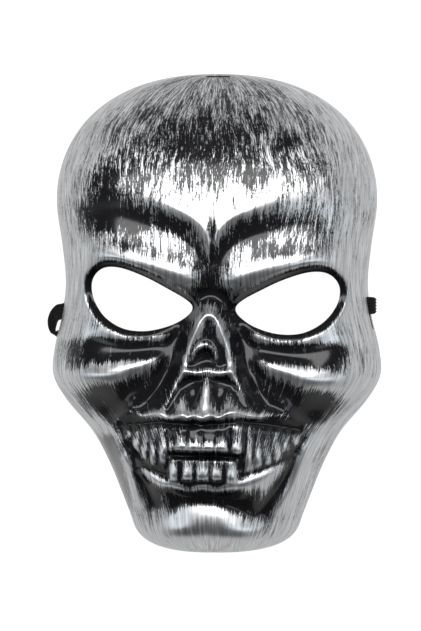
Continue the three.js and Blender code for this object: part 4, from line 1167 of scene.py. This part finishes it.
def loop_stations(node, sizes):
    """Stations round a tight loop of band: a rounded box seen along Y."""
    low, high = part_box(node)
    half = sizes.thickness / 2
    bottom, top = low.z + half, high.z - half
    inner, outer = low.x + half, high.x - half + sizes.bulge
    near, far = sizes.fold, sizes.fold * 2
    arcs = ((outer - far, bottom + far, far, -90), (outer - far, top - far, far, 0),
            (inner + near, top - near, near, 90), (inner + near, bottom + near, near, 180))
    corners = []
    for x, z, radius, start in arcs:
        for k in range(CORNER_STEPS + 1):
            angle = math.radians(start + 90 * k / CORNER_STEPS)
            corners.append((x + radius * math.cos(angle), z + radius * math.sin(angle)))
    corners = np.array(corners + corners[:1])
    rows = spaced(corners, travelled(corners), LOOP_STATIONS)
    points = [Vector((x, (low.y + high.y) / 2, z)) for x, z in rows]
    outs = [max(0, (point.x - inner) / (outer - inner)) for point in points]
    across = [Vector((0, 1 + sizes.spread * (1 - 2 * out**SPREAD_POWER), 0)) for out in outs]
    return loop_round(points, across)


# The slack loop as it shows outside the slot, in millimetres: the edge of the elastic beside the crown and
# the edge beside the chin, out of the slot, round the droop and back under the rim.
SLACK_ROUTE = (
    ((-80.0, 5.2, 8.4), (-80.2, -3.0, 8.4)),
    ((-83.6, 4.3, 8.0), (-82.6, -4.0, 7.4)),
    ((-86.9, 0.8, 6.8), (-83.6, -6.2, 5.2)),
    ((-88.5, -4.4, 4.8), (-84.3, -9.0, 3.2)),
    ((-87.2, -9.8, 2.4), (-83.6, -12.0, 1.3)),
    ((-82.5, -8.6, 1.15), (-82.0, -13.2, 1.15)),
)


def slack_stations(node, sizes):
    """Stations round the slack loop, whose elastic turns on its way down and gathers where it folds."""
    low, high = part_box(node)
    half = sizes.thickness / 2
    inside = high.x - half
    chin, crown = low.y + sizes.width, high.y - sizes.width
    rows = [((inside, high.y, high.z - half), (inside, crown, high.z - half))]
    rows += [[tuple(c * MM for c in edge) for edge in pair] for pair in SLACK_ROUTE]
    rows += [((inside, chin, low.z + half), (inside, low.y, low.z + half)),
             ((inside, (chin + high.y) / 2, (low.z + high.z) / 2),
              (inside, (low.y + crown) / 2, (low.z + high.z) / 2))]
    line = smooth_line([(*a, *b) for a, b in rows] + [(*rows[0][0], *rows[0][1])], LOOP_STEPS)
    middles = line.reshape(-1, 2, 3).mean(axis=1)
    edges = [(Vector(row[:3]), Vector(row[3:])) for row in spaced(line, travelled(middles), LOOP_STATIONS)]
    points = [crown_edge.lerp(chin_edge, 0.5) for crown_edge, chin_edge in edges]
    across = [(crown_edge - chin_edge) / sizes.width for crown_edge, chin_edge in edges]
    return loop_round(points, across)


class MASK_OT_loops(bpy.types.Operator):
    """Build the slack loop and the tight loop of elastic round the strips of rim at the temples"""

    bl_idname = "skull_mask.loops"
    bl_label = "Loops of elastic"

    def execute(self, context):
        sizes = context.scene.band_sizes
        for node, route in (("band_loop_left", slack_stations), ("band_loop_right", loop_stations)):
            bm = band_bmesh(sizes, route(node, sizes), closed=True)
            piece = mesh_object(node.replace("band_loop", "elastic_loop"), bm,
                                [bpy.data.materials["ribbed_elastic"]])
            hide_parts(node)
            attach(piece, "root")
        return {"FINISHED"}


# How far the elastic's end stands off its loop, how far it runs straight from there and how far apart its
# stations are, in millimetres.
END_GAP, STRAIGHT, STATION_STEP = 0.3, 1.2, 1.2


class MASK_OT_band(bpy.types.Operator):
    """Build the elastic that lies loose inside the mask between its loops"""

    bl_idname = "skull_mask.band"
    bl_label = "Elastic band"

    def execute(self, context):
        sizes = context.scene.band_sizes
        left_low, left_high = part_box("band_loop_left")
        right_low, right_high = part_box("band_loop_right")
        start_x, start_y = left_high.x + END_GAP * MM, (left_low.y + left_high.y) / 2
        end_x, end_y = right_low.x - END_GAP * MM, (right_low.y + right_high.y) / 2
        plan = [(start_x, start_y), (start_x + STRAIGHT * MM, start_y)]
        plan += [(x * MM, y * MM) for x, y in BAND_ROUTE]
        plan += [(end_x - STRAIGHT * MM, end_y), (end_x, end_y)]
        line = smooth_line(plan, BAND_STEPS)
        travel = travelled(line)
        steps = int(travel[-1] / (STATION_STEP * MM))
        places = spaced(line, travel, steps + 1, endpoint=True)
        middles = [Vector((x, y, sizes.width / 2)) for x, y in places]
        stations = []
        for k, middle in enumerate(middles):
            along = (middles[min(k + 1, steps)] - middles[max(k - 1, 0)]).normalized()
            stations.append((middle, Vector((0, 0, 1)), Vector((along.y, -along.x, 0))))
        band = mesh_object("loose_elastic", band_bmesh(sizes, stations, closed=False),
                           [bpy.data.materials["ribbed_elastic"]])
        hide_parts("elastic_band")
        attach(band, "root")
        return {"FINISHED"}


def facing(direction, distance, target):
    """The placement of a camera or light that looks at a target, with the crown's side up."""
    back = direction.normalized()
    right = Vector((0, 1, 0)).cross(back).normalized()
    upright = back.cross(right)
    matrix = Matrix((right, upright, back)).transposed().to_4x4()
    matrix.translation = target + back * distance
    return matrix


def softbox(name, towards, distance, size, radiance, colour=(1.0, 1.0, 1.0)):
    """An area light that faces the mask and that the camera can't see."""
    data = bpy.data.lights.new(name, "AREA")
    data.shape = "RECTANGLE"
    data.size, data.size_y = size
    data.energy = radiance * math.pi * size[0] * size[1]
    data.color = colour
    light = bpy.data.objects.new(name, data)
    light.matrix_world = facing(Vector(towards), distance, Vector((0, 0, 0)))
    light.visible_camera = False
    bpy.context.scene.collection.objects.link(light)


# The photograph's frame: its size in pixels, millimetres to a pixel at the rim, and its middle on the mask.
PHOTO_SIZE = (421, 631)
MM_PER_PIXEL = 0.523
PHOTO_MIDDLE = (-3.4, -1.3)

# The softboxes: their turn from straight above, how far away they stand and their size, in metres. The one
# beyond the crown stands a little to the right. The ones at the sides are bluish.
CROWN_TURN, CROWN_ASIDE, CROWN_DISTANCE, CROWN_SIZE = math.radians(40), 0.05, 1.3, (2.5, 0.55)
SIDE_TURN, SIDE_DISTANCE, SIDE_SIZE = math.radians(62), 1.2, (0.9, 0.35)
SIDE_COLOUR = (0.86, 0.94, 1.0)
# The floor's half size and how far it lies under the rim, in metres.
FLOOR_REACH, FLOOR_DROP = 6, 0.0002


class MASK_OT_studio(bpy.types.Operator):
    """Make the pale floor, the room, the softboxes and the camera"""

    bl_idname = "skull_mask.studio"
    bl_label = "Studio"

    def execute(self, context):
        scene = context.scene
        studio = scene.studio
        world = bpy.data.worlds.new("room")
        world.use_nodes = True
        background = world.node_tree.nodes["Background"]
        background.inputs["Color"].default_value = (1, 1, 1, 1)
        background.inputs["Strength"].default_value = studio.sky
        scene.world = world
        bm = bmesh.new()
        bmesh.ops.create_grid(bm, x_segments=1, y_segments=1, size=FLOOR_REACH)
        bmesh.ops.translate(bm, verts=bm.verts, vec=(0, 0, -FLOOR_DROP))
        tree, shader = new_material("pale_floor")
        shader.inputs["Base Color"].default_value = (0.1, 0.1, 0.1, 1)
        shader.inputs["Roughness"].default_value = 1.0
        shader.inputs["Specular IOR Level"].default_value = 0.0
        shader.inputs["Emission Color"].default_value = (1, 1, 1, 1)
        seen = tree.nodes.new("ShaderNodeLightPath").outputs["Is Camera Ray"]
        glow = range_node(tree, seen, 0.0, 1.0, studio.floor_glow, studio.floor)
        tree.links.new(glow, shader.inputs["Emission Strength"])
        floor = mesh_object("floor", bm, [bpy.data.materials["pale_floor"]])
        softbox("crown_softbox", (CROWN_ASIDE, math.sin(CROWN_TURN), math.cos(CROWN_TURN)), CROWN_DISTANCE,
                CROWN_SIZE, studio.key)
        for side in BOTH:
            softbox("side_softbox", (side * math.sin(SIDE_TURN), 0, math.cos(SIDE_TURN)), SIDE_DISTANCE,
                    SIDE_SIZE, studio.side, SIDE_COLOUR)
        data = bpy.data.cameras.new("camera")
        camera = bpy.data.objects.new("camera", data)
        scene.collection.objects.link(camera)
        target = Vector((PHOTO_MIDDLE[0] * MM, PHOTO_MIDDLE[1] * MM, 0))
        view = Vector((math.sin(studio.yaw), 0, math.cos(studio.yaw)))
        camera.matrix_world = facing(view, studio.distance, target)
        data.sensor_fit = "VERTICAL"
        data.sensor_height = 24
        data.lens = data.sensor_height * studio.distance / (PHOTO_SIZE[1] * MM_PER_PIXEL * MM)
        data.clip_end = 20
        scene.camera = camera
        scene.view_settings.view_transform = "Standard"
        return {"FINISHED"}


OPERATORS = (MASK_OT_finishes, MASK_OT_shell, MASK_OT_loops, MASK_OT_band, MASK_OT_studio)
PROPERTIES = (
    ("mask_sizes", MaskSizes),
    ("band_sizes", BandSizes),
    ("mask_finish", MaskFinish),
    ("studio", StudioSettings),
)


class MASK_PT_build(bpy.types.Panel):
    """The steps that build the mask, in order, with their sizes and colours"""

    bl_idname = "MASK_PT_build"
    bl_label = "Skull mask"
    bl_space_type = "VIEW_3D"
    bl_region_type = "UI"
    bl_category = "Skull mask"

    def draw(self, context):
        for operator in OPERATORS:
            self.layout.operator(operator.bl_idname)
        for name, group in PROPERTIES:
            box = self.layout.box()
            for prop in group.__annotations__:
                box.prop(getattr(context.scene, name), prop)


def register():
    for name, group in PROPERTIES:
        bpy.utils.register_class(group)
        setattr(bpy.types.Scene, name, PointerProperty(type=group))
    for cls in OPERATORS + (MASK_PT_build,):
        bpy.utils.register_class(cls)


def unregister():
    for cls in reversed(OPERATORS + (MASK_PT_build,)):
        bpy.utils.unregister_class(cls)
    for name, group in reversed(PROPERTIES):
        delattr(bpy.types.Scene, name)
        bpy.utils.unregister_class(group)


def main():
    register()
    bpy.ops.skull_mask.studio()
    bpy.ops.skull_mask.finishes()
    bpy.ops.skull_mask.loops()
    bpy.ops.skull_mask.band()
    bpy.ops.skull_mask.shell()


if __name__ == "__main__":
    main()
